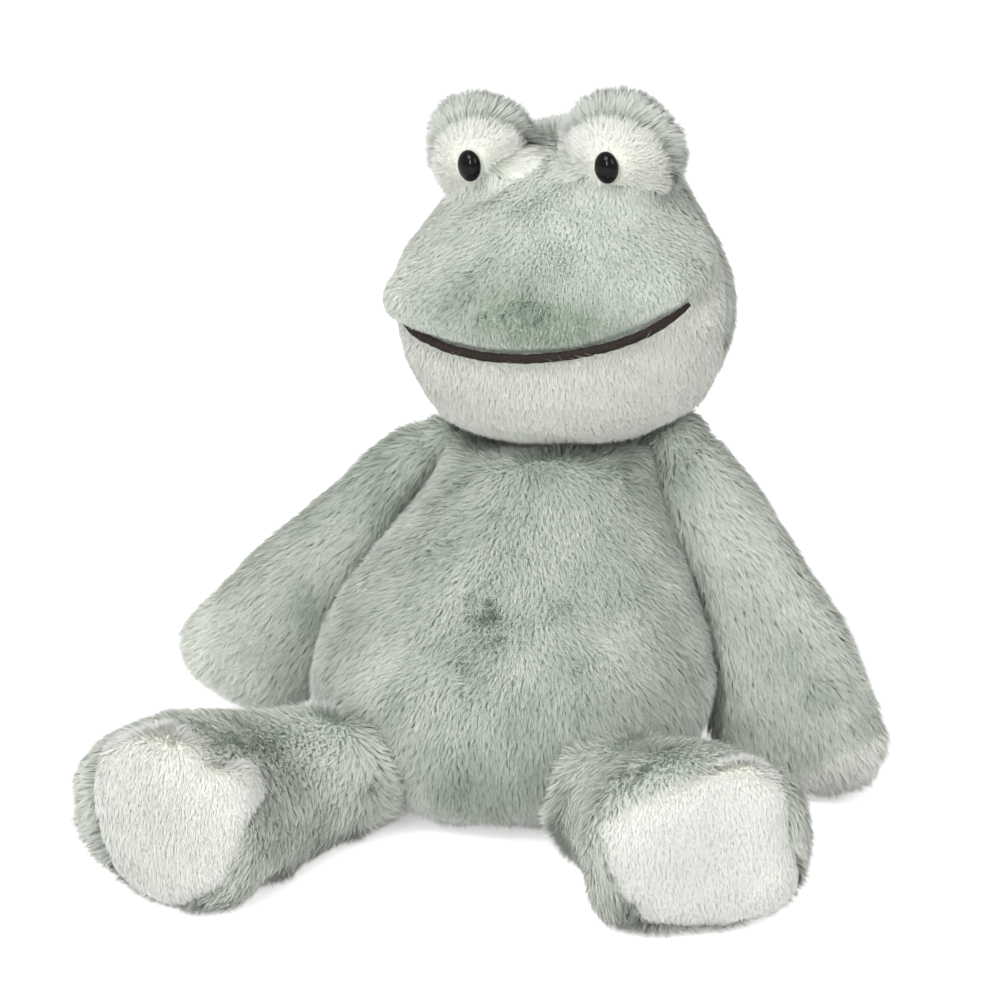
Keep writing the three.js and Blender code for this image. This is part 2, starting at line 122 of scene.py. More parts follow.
# A solid finish with fine mottling: the colour wanders to a second one over grains of a real size, and the
# same grains stand up as bump
def grainMaterial(name, colours, grain, roughness, specular=0.5, bump=0.0, ior=1.5, stretch=(1, 1, 1)):
    material, tree, shader = newMaterial(name)
    place = addNode(tree, "ShaderNodeTexCoord")
    scaled = addNode(tree, "ShaderNodeMapping", {"Scale": stretch}, [("Vector", place, "Object")])
    noise = addNode(tree, "ShaderNodeTexNoise", {"Scale": 1 / grain, "Detail": 3.0, "Roughness": 0.6},
                    [("Vector", scaled, 0)])
    ramp = addNode(tree, "ShaderNodeValToRGB", links=[(0, noise, 0)])
    setRamp(ramp, [0.35, 0.68], colours)
    tree.links.new(ramp.outputs[0], shader.inputs["Base Color"])
    if bump:
        relief = addNode(tree, "ShaderNodeBump", {"Strength": 0.6, "Distance": bump}, [("Height", noise, 0)])
        tree.links.new(relief.outputs[0], shader.inputs["Normal"])
    setNode(shader, {"Roughness": roughness, "Specular IOR Level": specular, "IOR": ior})
    return material


waveSpacing = 0.314  # how far apart a wave texture's ridges stand at scale 1


# Cloth with its threads drawn as two crossing sets of ridges a real distance apart, in object space
def wovenMaterial(name, colours, thread, roughness, bump):
    material, tree, shader = newMaterial(name)
    place = addNode(tree, "ShaderNodeTexCoord")
    ridges = []
    for axis in "XZ":
        ridges.append(addNode(tree, "ShaderNodeTexWave", {
            "wave_type": "BANDS", "bands_direction": axis, "Scale": waveSpacing / thread, "Distortion": 0.6,
            "Detail": 1.0, "Detail Scale": 2.0}, [("Vector", place, "Object")]))
    crossed = addNode(tree, "ShaderNodeMath", {"operation": "MULTIPLY"}, [(0, ridges[0], 1), (1, ridges[1], 1)])
    ramp = addNode(tree, "ShaderNodeValToRGB", links=[(0, crossed, 0)])
    setRamp(ramp, [0.0, 0.5], colours)
    relief = addNode(tree, "ShaderNodeBump", {"Strength": 0.7, "Distance": bump}, [("Height", crossed, 0)])
    tree.links.new(ramp.outputs[0], shader.inputs["Base Color"])
    tree.links.new(relief.outputs[0], shader.inputs["Normal"])
    setNode(shader, {"Roughness": roughness, "Specular IOR Level": 0.2, "Sheen Weight": 0.15})
    return material


# Knitted acrylic pile, brushed: dark at the root, partly as painted shade, and frosted at the tip; darker and
# greener for tufts given painted shade
greenPile = pileMaterial("sage_acrylic_pile", ["#b2beb1", "#ccd4ca", "#eceeea"],
                         ["#8f9f8f", "#d9ddd7", "#fffefb"])
palePile = pileMaterial("pale_sage_acrylic_pile", ["#cdd5ca", "#dde2da", "#f2f4f0"],
                        ["#a0af9f", "#dfe3de", "#fffefb"])
frostedPile = pileMaterial("frosted_sage_acrylic_pile", ["#b9c4b6", "#dde2d8", "#ffffff"],
                           ["#9fad9c", "#dcdfd9", "#fffefb"])
# Cream pile: a darker copy of the white pile, partly cream and partly painted shade where it faces down under
# the chin; the eye whites wear it too
creamShadedPile = pileMaterial("cream_acrylic_pile", ["#d4d7cd", "#e3e5de", "#f0f1ed"],
                         ["#c9cfc5", "#eff0ed", "#ffffff"], sheen=0.3)
whitePile = pileMaterial("white_acrylic_pile", ["#dadcd3", "#e2e4de", "#ebece8"],
                         ["#d5dacf", "#f1f2ef", "#ffffff"], sheen=0.3)
# Warp-knitted base cloth of the pile: fine rows of loops
# The green backing is darker than the pile partly as painted shade for the gaps between the tufts
greenBacking = wovenMaterial("sage_knitted_backing", ["#9aa99b", "#b4c1b4"], 0.9 * mm, 0.9, 0.15 * mm)
whiteBacking = wovenMaterial("white_knitted_backing", ["#d8dacf", "#eceddf"], 0.9 * mm, 0.9, 0.15 * mm)
# Carded polyester fibre: soft, matt and slightly clumped
wadding = grainMaterial("carded_polyester_wadding", ["#e9e9e3", "#fafaf6"], 3 * mm, 0.95, 0.2, 0.8 * mm, 1.57,
                        (1, 1, 2.5))
# Plain woven unbleached cotton, drawn at its real thread spacing
calico = wovenMaterial("woven_unbleached_calico", ["#bfb49c", "#ded6c4"], 0.5 * mm, 0.88, 0.12 * mm)
# Moulded and polished black plastic: near-mirror, with the faintest cloudiness
eyePlastic = grainMaterial("polished_black_plastic", ["#030304", "#070708"], 4 * mm, 0.05, 0.15, 0.0, 1.49)
# Moulded natural nylon: milky and satin
washerNylon = grainMaterial("moulded_natural_nylon", ["#dcdcd4", "#ebebe6"], 2 * mm, 0.42, 0.5, 0.03 * mm, 1.53)
# Felted brown yarn: matt, with paler flecks of fibre along it
mouthYarn = grainMaterial("felted_brown_yarn", ["#181412", "#3b332f"], 0.45 * mm, 0.95, 0.1, 0.35 * mm)
# The five fabrics: pile, the backing under it, and a slot name
sageFabric = (greenPile, greenBacking, "body_plush")
paleFabric = (palePile, greenBacking, "head_plush")
rimFabric = (frostedPile, greenBacking, "body_plush")
creamShadedFabric = (creamShadedPile, whiteBacking, "white_plush")
whiteFabric = (whitePile, whiteBacking, "white_plush")
say("materials")


# Meshes as arrays
def arraysOf(mesh):
    points = np.empty(len(mesh.vertices) * 3)
    mesh.vertices.foreach_get("co", points)
    mesh.calc_loop_triangles()
    triangles = np.empty(len(mesh.loop_triangles) * 3, np.int32)
    mesh.loop_triangles.foreach_get("vertices", triangles)
    return points.reshape(-1, 3), triangles.reshape(-1, 3)


def unit(vectors):
    return vectors / np.maximum(np.linalg.norm(vectors, axis=-1, keepdims=True), 1e-12)


def normalsOf(points, triangles):
    corners = points[triangles]
    faces = np.cross(corners[:, 1] - corners[:, 0], corners[:, 2] - corners[:, 0])
    normals = np.zeros_like(points)
    for i in range(3):
        for axis in range(3):
            normals[:, axis] += np.bincount(triangles[:, i], faces[:, axis], len(points))
    return unit(normals)


# The three sides of every triangle, in its own direction
def sidesOf(triangles):
    return np.concatenate([triangles[:, [0, 1]], triangles[:, [1, 2]], triangles[:, [2, 0]]])


def edgesOf(triangles):
    return np.unique(np.sort(sidesOf(triangles), axis=1), axis=0)


# Values at the vertices, drawn towards those of their neighbours
def averaged(values, edges, rounds, share=0.5):
    values = values.copy()
    count = len(values)
    ends = np.concatenate([edges[:, 0], edges[:, 1]])
    others = np.concatenate([edges[:, 1], edges[:, 0]])
    degree = np.maximum(np.bincount(ends, minlength=count), 1)
    flat = values.reshape(count, -1)
    for _ in range(rounds):
        for axis in range(flat.shape[1]):
            around = np.bincount(ends, flat[others, axis], count) / degree
            flat[:, axis] += (around - flat[:, axis]) * share
    return flat.reshape(values.shape)


# The outermost connected surface, without the hollows inside
def largestShell(points, triangles):
    edges = edgesOf(triangles)
    label = np.arange(len(points))
    while True:
        low = np.minimum(label[edges[:, 0]], label[edges[:, 1]])
        new = label.copy()
        np.minimum.at(new, edges[:, 0], low)
        np.minimum.at(new, edges[:, 1], low)
        new = new[new]
        if np.array_equal(new, label):
            break
        label = new
    counts = np.bincount(label[triangles[:, 0]])
    kept = triangles[label[triangles[:, 0]] == np.argmax(counts)]
    used, inverse = np.unique(kept, return_inverse=True)
    return points[used], inverse.reshape(-1, 3)


# An object that holds a mesh while a modifier works on it
def heldMesh(points, triangles):
    mesh = bpy.data.meshes.new("held")
    mesh.from_pydata(points.tolist(), [], triangles.tolist())
    holder = bpy.data.objects.new("held", mesh)
    bpy.context.scene.collection.objects.link(holder)
    return holder


# What the modifiers make of a held mesh, which is then thrown away
def takenFrom(holder):
    evaluated = holder.evaluated_get(bpy.context.evaluated_depsgraph_get())
    result = arraysOf(evaluated.to_mesh())
    evaluated.to_mesh_clear()
    mesh = holder.data
    bpy.data.objects.remove(holder)
    bpy.data.meshes.remove(mesh)
    return result


def remeshed(points, triangles, voxel):
    holder = heldMesh(points, triangles)
    remesh = holder.modifiers.new("remesh", "REMESH")
    remesh.mode = "VOXEL"
    remesh.voxel_size = voxel
    return takenFrom(holder)


# The outer surface of several CAD nodes together, as one even mesh
def joinedSkin(names, voxel):
    meshes = [arraysOf(nodes[name].data) for name in names]
    offsets = np.cumsum([0] + [len(points) for points, _ in meshes[:-1]])
    points = np.concatenate([points for points, _ in meshes])
    triangles = np.concatenate([tris + start for (_, tris), start in zip(meshes, offsets)])
    return largestShell(*remeshed(points, triangles, voxel))


def treeOf(name):
    points, triangles = arraysOf(nodes[name].data)
    return BVHTree.FromPolygons(points.tolist(), triangles.tolist())


def gapsTo(tree, points):
    return np.array([tree.find_nearest(point)[3] for point in points.tolist()])


# For each point, which of the named nodes lies nearest
def nearestNode(points, names):
    return np.argmin([gapsTo(treeOf(name), points) for name in names], axis=0)


# Smooth noise from -1 to 1 made of a few sine waves about that long
def waves(points, length, seed):
    rng = np.random.default_rng(seed)
    total = np.zeros(len(points))
    for _ in range(7):
        way = unit(rng.normal(size=3)) * 2 * math.pi / (length * rng.uniform(0.7, 1.5))
        total += np.sin(points @ way + rng.uniform(0, 6.28))
    return total / 3.2


def makeMesh(name, points, faces, material):
    mesh = bpy.data.meshes.new(name)
    mesh.from_pydata(np.asarray(points).tolist(), [], [list(map(int, f)) for f in faces])
    mesh.materials.append(material)
    mesh.polygons.foreach_set("use_smooth", [True] * len(mesh.polygons))
    piece = bpy.data.objects.new(name, mesh)
    bpy.context.scene.collection.objects.link(piece)
    return piece


# Faces of a round bar whose points are rings from end to end; turned ones face the other way
def ringFaces(rings, around, turned=False):
    last = (rings - 1) * around
    faces = [tuple(range(around)), tuple(reversed(range(last, last + around)))]
    for start in range(0, last, around):
        for k in range(around):
            k2 = (k + 1) % around
            faces.append((start + k, start + around + k, start + around + k2, start + k2))
    return [face[::-1] for face in faces] if turned else faces


# A piece rides a body and stands for a CAD node, which is hidden
def fitted(piece, body, node, slotName):
    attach(piece, body)
    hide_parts(node)


# Cloth simulation: a coarse copy of a body's cover, started small and a little slack, is blown out by its
# filling between the seams, which stay pinned; how far its points end from the CAD surface is capped and
# handed to the fine skin. At this size it takes a light cloth and a higher pressure than a seat cushion does
clothSettings = {"voxel": 6 * mm, "start": 1.5 * mm, "pressure": 40.0, "mass": 0.005, "stiffness": 5.0,
                 "bending": 0.1, "slack": 0.03, "frames": 20, "out": 1.2 * mm, "in": 1.2 * mm, "aside": 0.4}


def puffed(fine, names, inner, claim, settings):
    points, triangles = joinedSkin(names + inner, settings["voxel"])
    edges = edgesOf(triangles)
    points = averaged(points, edges, 2)
    normals = normalsOf(points, triangles)
    label = claim(points, normals, nearestNode(points, names))
    seams = np.unique(edges[label[edges[:, 0]] != label[edges[:, 1]]])
    holder = heldMesh(points - normals * settings["start"], triangles)
    if len(seams):
        holder.vertex_groups.new(name="seams").add(seams.tolist(), 1.0, "REPLACE")
    cloth = holder.modifiers.new("cloth", "CLOTH")
    cloth.collision_settings.use_collision = False
    cloth.settings.effector_weights.gravity = 0
    cloth.settings.use_pressure = True
    cloth.settings.uniform_pressure_force = settings["pressure"]
    cloth.settings.mass = settings["mass"]
    cloth.settings.tension_stiffness = cloth.settings.compression_stiffness = settings["stiffness"]
    cloth.settings.bending_stiffness = settings["bending"]
    cloth.settings.shrink_min = -settings["slack"]
    cloth.settings.vertex_group_mass = "seams" if len(seams) else ""
    cloth.point_cache.frame_start, cloth.point_cache.frame_end = 1, settings["frames"]
    for step in range(1, settings["frames"] + 1):
        bpy.context.scene.frame_set(step)
    moved = takenFrom(holder)[0] - points
    bpy.context.scene.frame_set(1)
    along = (moved * normals).sum(1)
    average = np.abs(along).mean() / mm
    print(f"  cloth: {len(points)} points, {len(seams)} pinned, moved {average:.2f} mm on average")
    across = moved - normals * along[:, None]
    moved = normals * np.clip(along, -settings["in"], settings["out"])[:, None] + across * settings["aside"]
    moved = averaged(moved, edges, 1, 0.3)
    tree = BVHTree.FromPolygons(points.tolist(), triangles.tolist())
    found = [tree.find_nearest(point) for point in fine.tolist()]
    spots = np.array([spot for spot, _, _, _ in found])
    nearest = triangles[[face for _, _, face, _ in found]]
    weights = 1 / np.maximum(np.linalg.norm(points[nearest] - spots[:, None], axis=2), 0.2 * mm)
    weights /= weights.sum(1, keepdims=True)
    return (moved[nearest] * weights[:, :, None]).sum(1)


# Covers: the backing cloth that the pile stands on, one piece for each CAD cover
coverSettings = {"thickness": 0.8 * mm, "lump": 55 * mm, "lumpHeight": 0.8 * mm, "dimple": 22 * mm,
                 "dimpleHeight": 0.4 * mm, "floorGap": 1.5 * mm, "drawSteps": 4}


# A body's outer surface, drawn in by the pile's depth, with the CAD node that each vertex belongs to
class Skin:

    def __init__(self, body, names, inner, depths, voxel, sculpt, claim, cloth, settings):
        self.body = body
        self.names = names
        points, self.triangles = joinedSkin(names + inner, voxel)
        edges = edgesOf(self.triangles)
        points = averaged(points, edges, 2)
        self.label = claim(points, normalsOf(points, self.triangles), nearestNode(points, names))
        if cloth:
            points = averaged(points + puffed(points, names, inner, claim, clothSettings), edges, 1)
        lumps = waves(points, settings["lump"], len(names) * 7) * settings["lumpHeight"]
        lumps += waves(points, settings["dimple"], len(names) * 9) * settings["dimpleHeight"]
        points += normalsOf(points, self.triangles) * lumps[:, None]
        depth = averaged(np.array([depths[name] for name in names])[self.label], edges, 8)
        if sculpt:
            normals = normalsOf(points, self.triangles)
            points += normals * averaged(sculpt(points, normals, self.label), edges, 3)[:, None]
            points[:, 2] = np.maximum(points[:, 2], settings["floorGap"])
        for _ in range(settings["drawSteps"]):
            normals = unit(averaged(normalsOf(points, self.triangles), edges, 3))
            points = averaged(points - normals * depth[:, None] / settings["drawSteps"], edges, 1, 0.4)
            points[:, 2] = np.maximum(points[:, 2], settings["floorGap"])
        self.points = points
        self.normals = unit(averaged(normalsOf(points, self.triangles), edges, 2))


# The backing cloth of one CAD cover: its patch of the skin with a thickness
def coverPiece(skin, index, material, slotName):
    chosen = skin.triangles[skin.label[skin.triangles[:, 0]] == index]
    used, inverse = np.unique(chosen, return_inverse=True)
    faces = inverse.reshape(-1, 3)
    count = len(used)
    outside = skin.points[used]
    inside = outside - skin.normals[used] * coverSettings["thickness"]
    pairs = sidesOf(faces)
    rim = pairs[~np.isin(pairs[:, 0] * count + pairs[:, 1], pairs[:, 1] * count + pairs[:, 0])]
    walls = np.stack([rim[:, 1], rim[:, 0], rim[:, 0] + count, rim[:, 1] + count], 1)
    allFaces = faces.tolist() + (faces[:, ::-1] + count).tolist() + walls.tolist()
    name = skin.names[index]
    piece = makeMesh(name + "_backing", np.concatenate([outside, inside]), allFaces, material)
    fitted(piece, skin.body, name, slotName)


# Pile: tufts of tapered fibres rooted on a skin
# Evenly scattered places on a skin as triangle numbers and weights: many are tried, and each small cell of
# space keeps one
scatter = {"tries": 5, "cell": 1.06}


def tuftRoots(skin, spacing, rng):
    corners = skin.points[skin.triangles]
    area = np.linalg.norm(np.cross(corners[:, 1] - corners[:, 0], corners[:, 2] - corners[:, 0]), axis=1) / 2
    count = int(area.sum() / spacing ** 2 * scatter["tries"])
    steps = (np.arange(count) + rng.random(count)) / count * area.sum()
    picked = np.minimum(np.searchsorted(np.cumsum(area), steps), len(area) - 1)
    u, v = rng.random((2, count))
    u, v = np.where(u + v > 1, 1 - u, u), np.where(u + v > 1, 1 - v, v)
    weights = np.stack([1 - u - v, u, v], 1)
    places = (corners[picked] * weights[:, :, None]).sum(1)
    order = rng.permutation(count)
    cells = np.floor(places[order] / (spacing * scatter["cell"])).astype(np.int64)
    keys = cells @ np.array([1, 4096, 4096 * 4096])
    _, first = np.unique(keys, return_index=True)
    chosen = order[first]
    return picked[chosen], weights[chosen]


def onSkin(skin, values, picked, weights):
    return (values[skin.triangles[picked]] * weights[:, :, None]).sum(1)


# Pile in pieces of up to so many faces; tufts holds the arrays of roots, normals, flow, shade and scale
mostFaces = 180000


def growPile(name, body, slotName, material, tufts, style, rng):
    height = tufts[0][:, 2]
    pieces = max(1, math.ceil(len(height) / int(mostFaces / (style["parts"] * 2 - 1) / style["perTuft"])))
    groups = np.array_split(np.argsort(height), pieces) if pieces > 1 else [np.arange(len(height))]
    for number, chosen in enumerate(groups):
        label = name if pieces == 1 else f"{name}_{number + 1}"
        growTufts(label, body, slotName, material, [values[chosen] for values in tufts], style, rng)
    return len(height) * style["perTuft"]


# Each fibre strays from its tuft's middle, leaves the cloth upright, bends to lie along the flow, and leans
# in to the tuft's tip; all but the sunk root and the tone steps are shares of its lean, length or width
fibreShape = {"stray": 0.66, "sunk": 0.5 * mm, "riseLean": 0.45, "lieLean": 1.25, "rise": 0.42, "lie": 0.6,
              "roll": 0.9, "narrowing": 0.35, "rounding": 0.35, "tipwards": 0.12, "toneSteps": 64,
              "toneHalf": 0.4}


def growTufts(name, body, slotName, material, tufts, style, rng):
    roots, normals, flow, shade, scale = tufts
    count, perTuft, parts, form = len(roots), style["perTuft"], style["parts"], fibreShape
    flow = flow - normals * (flow * normals).sum(1, keepdims=True)
    laid = np.clip(np.linalg.norm(flow, axis=1) / 0.75, 0.3, 1)
    flow = unit(flow)
    side = np.cross(normals, flow)
    turn = rng.normal(0, style["wander"], count)[:, None]
    along = flow * np.cos(turn) + side * np.sin(turn)
    lean = np.radians(style["lean"] * laid + rng.normal(0, style["leanSpread"], count))[:, None, None]
    length = style["length"] * np.clip(1 + rng.normal(0, style["uneven"], count), 0.6, 1.3) * scale
    shape = (count, perTuft, 1)
    reach = style["spacing"] * np.sqrt(rng.random(shape)) * form["stray"]
    angle = rng.random(shape) * 2 * math.pi
    n, t, s = normals[:, None], along[:, None], side[:, None]
    start = roots[:, None] + t * reach * np.cos(angle) + s * reach * np.sin(angle) - n * form["sunk"]
    size = length[:, None, None] * np.clip(1 + rng.normal(0, style["uneven"] * 1.3, shape), 0.5, 1.35)
    loose = rng.normal(0, style["loose"], (count, perTuft, 2))
    rise = n * np.cos(lean * form["riseLean"]) + t * np.sin(lean * form["riseLean"])
    lie = n * np.cos(lean * form["lieLean"]) + t * np.sin(lean * form["lieLean"])
    lie = lie + s * loose[..., :1] + n * loose[..., 1:]
    bend = start + unit(rise) * size * form["rise"]
    end = bend + unit(lie) * size * form["lie"]
    gather = np.mean(end, axis=1, keepdims=True)
    end = end + (gather - end) * style["gather"] * rng.uniform(0.6, 1.1, shape)
    stations = np.linspace(0, 1, parts + 1) ** 0.9
    path = [(1 - q) ** 2 * start + 2 * q * (1 - q) * bend + q * q * end for q in stations]
    ahead = unit(end - start)
    across = unit(np.cross(ahead, n + 0 * ahead))
    lift = np.cross(across, ahead)
    roll = rng.uniform(-form["roll"], form["roll"], shape)
    flat = unit(across * np.cos(roll) + lift * np.sin(roll))
    half = style["width"] * 0.5 * rng.uniform(0.75, 1.25, shape)
    tone = np.clip(shade[:, None, None] + rng.normal(0, style["fleck"], shape), 0, 0.999)
    tone = (np.floor(tone * form["toneSteps"]) + 0.5) / form["toneSteps"]
    facing = n + across * rng.normal(0, style["relief"], shape) + ahead * form["tipwards"]
    columns, shades, heights, facings = [], [], [], []
    for station, middle in zip(stations[:-1], path[:-1]):
        width = 1 - form["narrowing"] * station ** 2
        for sign in (-1, 1):
            columns.append(middle + flat * half * width * sign)
            shades.append(tone + sign * form["toneHalf"] / form["toneSteps"])
            heights.append(np.full(shape, station))
            facings.append(unit(facing + flat * sign * form["rounding"]))
    columns.append(path[-1])
    shades.append(tone)
    heights.append(np.full(shape, 1.0))
    facings.append(unit(facing))
    points = np.stack(columns, 2).reshape(-1, 3)
    points[:, 2] = np.maximum(points[:, 2], 0.2 * mm)
    fibreNormals = np.stack(facings, 2).reshape(-1, 3)
    uv = np.concatenate([np.stack(shades, 2), np.stack(heights, 2)], -1).reshape(-1, 2)
    pattern = []
    for part in range(parts - 1):
        pattern += [2 * part, 2 * part + 1, 2 * part + 3, 2 * part + 2]
    pattern += [2 * parts - 2, 2 * parts - 1, 2 * parts]
    strands = np.arange(count * perTuft, dtype=np.int32)[:, None]
    loops = (strands * (2 * parts + 1) + np.array(pattern, np.int32)).ravel()
    starts = (strands * len(pattern) + np.arange(parts, dtype=np.int32) * 4).ravel()
    mesh = bpy.data.meshes.new(name)
    mesh.vertices.add(len(points))
    mesh.vertices.foreach_set("co", points.ravel())
    mesh.loops.add(len(loops))
    mesh.loops.foreach_set("vertex_index", loops)
    mesh.polygons.add(len(starts))
    mesh.polygons.foreach_set("loop_start", starts)
    mesh.update(calc_edges=True)
    mesh.polygons.foreach_set("use_smooth", np.ones(len(starts), bool))
    layer = mesh.uv_layers.new(name="OFBake")
    layer.data.foreach_set("uv", uv[loops].ravel())
    mesh.normals_split_custom_set_from_vertices(fibreNormals.tolist())
    mesh.materials.append(material)
    piece = bpy.data.objects.new(name, mesh)
    bpy.context.scene.collection.objects.link(piece)
    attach(piece, body)


# Camera at the photograph's angle, made first because the combing marks are placed by its pixels
cameraSettings = {"azimuth": 11, "elevation": 20, "distance": 1.3, "target": (-0.0045, 0.0085, 0.146),
                  "lens": 103.9, "sensor": 36, "pixels": 1000}
a, e = math.radians(cameraSettings["azimuth"]), math.radians(cameraSettings["elevation"])
cameraBack = Vector((math.sin(a) * math.cos(e), -math.cos(a) * math.cos(e), math.sin(e)))
camera = bpy.data.objects.new("camera", bpy.data.cameras.new("camera"))
bpy.context.scene.collection.objects.link(camera)
camera.location = Vector(cameraSettings["target"]) + cameraBack * cameraSettings["distance"]
camera.rotation_euler = (-cameraBack).to_track_quat("-Z", "Y").to_euler()
camera.data.lens = cameraSettings["lens"]
camera.data.clip_end = 20
bpy.context.scene.camera = camera
cameraTurn = camera.rotation_euler.to_matrix()
focal = cameraSettings["lens"] / cameraSettings["sensor"] * cameraSettings["pixels"]
centre = cameraSettings["pixels"] / 2


# The place on a surface behind a pixel of the photograph, or None
def behindPixel(tree, x, y):
    way = (cameraTurn @ Vector((x - centre, centre - y, -focal))).normalized()
    hit = tree.ray_cast(camera.location, way)[0]
    return None if hit is None else np.array(hit)


def pixelsOf(points):
    local = (points - np.array(camera.location)) @ np.array(cameraTurn)
    return centre - focal * local[:, 0] / local[:, 2], centre + focal * local[:, 1] / local[:, 2]


# How squarely each normal meets the camera, from -1 to 1
def facingCamera(normals):
    return normals @ np.array(cameraBack)


def insideOutline(x, y, outline):
    inside = np.zeros(len(x), bool)
    for (x0, y0), (x1, y1) in zip(outline, outline[1:] + outline[:1]):
        crosses = (y0 > y) != (y1 > y)
        inside ^= crosses & (x < (x1 - x0) * (y - y0) / ((y1 - y0) or 1) + x0)
    return inside


# The head stands in its own turned frame, so its combing is written there: x to its left, y back, z up
jointPlaces = {joint["name"]: np.array(joint["pos_m"]) for joint in frame["joints"]}
headSettings = {"offset": (5, -2, -18), "tilt": -4, "turn": -13}
headOrigin = np.array(Vector(jointPlaces["head_turn"]) + Vector(headSettings["offset"]) * mm)
headTilt = Matrix.Rotation(math.radians(headSettings["tilt"]), 3, "Y")
headAxes = np.array(headTilt @ Matrix.Rotation(math.radians(headSettings["turn"]), 3, "Z"))


def inHead(points):
    return (points - headOrigin) @ headAxes


def fromHead(vectors):
    return vectors @ headAxes.T


headForward = fromHead(np.array([0, -1.0, 0]))


def middleOf(name):
    low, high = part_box(name)
    return np.array((low + high) / 2)


# A place so many mm from the middle of a CAD node
def beside(name, *offset):
    return middleOf(name) + np.array(offset) * mm


def fade(points, place, reach):
    return np.exp(-(np.linalg.norm(points - place, axis=1) / reach) ** 2)


# Soft swellings, each as its place and its reach and height in mm
def swollen(points, swellings):
    return sum(fade(points, place, reach * mm) * height * mm for place, reach, height in swellings)


# Wandering directions about a length across
def swirl(points, length, seed):
    return np.stack([waves(points, length, seed + axis) for axis in range(3)], 1)


pileSwirl = 35 * mm  # the brushed pile changes its way over about this much


# A flow turned by marks read off the photograph: (x, y, angle, reach, strength) combs that way near the
# pixel, and an angle of None ruffles the pile there: short curls of mixed direction that stand up
def combed(flow, points, tree, marks):
    for x, y, angle, reach, strength in marks:
        place = behindPixel(tree, x, y)
        if place is None:
            continue
        near = fade(points, place, reach * mm)[:, None] * strength
        if angle is None:
            near = np.minimum(near, 1)
            flow = flow * (1 - 0.7 * near) + swirl(points, reach * mm, int(x + y)) * near * 0.6
        else:
            step = np.array([math.cos(math.radians(angle)), -math.sin(math.radians(angle))]) * 6
            further = behindPixel(tree, x + step[0], y + step[1])
            if further is not None:
                flow = flow + unit(further - place) * near
    return flow


# Lighter or darker areas, as (x, y, reach, amount) in the photograph's pixels and mm: mostly painted light and
# shade, lighter where light falls and darker under the head, on undersides and in creases, with a few darker
# ruffled patches; every ruffled mark is also darker between its curls, partly as painted shade and partly as the
# darker roots showing
curlSettings = {"across": 3.5 * mm, "seed": 77, "contrast": 0.25, "darker": 0.1}


def toned(points, tree, marks, areas):
    tone = np.zeros(len(points))
    curls = waves(points, curlSettings["across"], curlSettings["seed"]) * curlSettings["contrast"]
    curls -= curlSettings["darker"]
    ruffles = [(x, y, reach, curls * strength) for x, y, angle, reach, strength in marks if angle is None]
    for x, y, reach, amount in ruffles + areas:
        place = behindPixel(tree, x, y)
        if place is not None:
            tone += fade(points, place, reach * mm) * amount
    return tone


def full(points):
    return np.ones(len(points))


torsoTree = treeOf("torso_front")
torsoMarks = [(556, 455, None, 10, 1.0), (455, 490, None, 11, 0.7), (446, 545, None, 10, 0.8),
              (478, 590, None, 9, 0.6), (505, 634, None, 11, 0.35), (468, 668, None, 12, 0.5),
              (588, 662, None, 10, 0.6), (540, 695, None, 10, 0.5), (690, 735, None, 8, 0.7),
              (620, 475, None, 13, 0.6), (650, 452, None, 10, 0.7), (420, 640, None, 10, 0.5),
              (600, 560, 285, 22, 0.7), (420, 600, 245, 20, 0.4), (350, 660, 255, 20, 0.4),
              (660, 640, 280, 20, 0.6), (560, 740, 262, 25, 0.6)]
# Painted light and shade on the torso: darker under the head and low on the belly, lighter on its lit left side
# and over the middle
torsoPaintedLightAndTone = [(560, 465, 24, -0.12), (480, 790, 22, -0.3), (600, 790, 18, -0.2), (360, 680, 22, 0.15),
              (690, 620, 18, 0.2), (400, 740, 18, 0.05), (540, 520, 22, 0.06), (620, 620, 20, 0.1),
              (530, 590, 14, 0.05)]
# The cover bunches up under the head and over the shoulders
torsoSwellings = [(behindPixel(torsoTree, 560, 466), 26, 8)]
for side, inner, outer in [("left", 6, 10), ("right", 4, 4)]:
    pivot = jointPlaces[side + "_arm_raise"] * [0.8, 1, 1] + np.array([0, -4, 8]) * mm
    torsoSwellings += [(pivot, 20, inner), (beside("shoulder_gather_" + side, 5, 7, 12), 17, outer)]


# Down the belly and out to the sides, short and upright where the head sits on it
def torsoCombing(points, normals):
    outwards = np.clip(points[:, 0] / (50 * mm), -1, 1) * 0.24
    flow = np.stack([outwards, 0 * outwards, 0 * outwards - 1], 1)
    flow = flow + swirl(points, pileSwirl, 3) * 0.24 + swirl(points, 14 * mm, 4) * 0.08
    return combed(flow, points, torsoTree, torsoMarks), full(points)


def torsoSculpt(points, normals, label):
    return swollen(points, torsoSwellings)


def torsoTone(points, name):
    return toned(points, torsoTree, torsoMarks, torsoPaintedLightAndTone)


# A shallow crease along the seam round some of the points, and the cover plump inside it
plumpSettings = {"inside": 12 * mm, "creaseWidth": 3.5 * mm, "farthest": 50 * mm}


def plumped(points, mine, crease, plump):
    gap = np.full(len(points), plumpSettings["farthest"])
    for own, others in [(mine, ~mine), (~mine, mine)]:
        spots = points[others]
        tree = KDTree(len(spots))
        for k, spot in enumerate(spots.tolist()):
            tree.insert(spot, k)
        tree.balance()
        if len(spots):
            gap[own] = [tree.find(spot)[2] for spot in points[own].tolist()]
    sunk = np.exp(-(gap / plumpSettings["creaseWidth"]) ** 2) * crease
    return (mine * np.clip(gap / plumpSettings["inside"], 0, 1) * plump - sunk) * mm


# A flow in the head's axes that fans out by so much, back and down so far, with small swirls
def fanned(points, fan, back, down, seed, swirled):
    p = inHead(points)
    flow = np.stack([p[:, 0] * fan, back + 0 * p[:, 0], -down + 0 * p[:, 0]], 1)
    return fromHead(flow) + swirl(points, pileSwirl, seed) * swirled


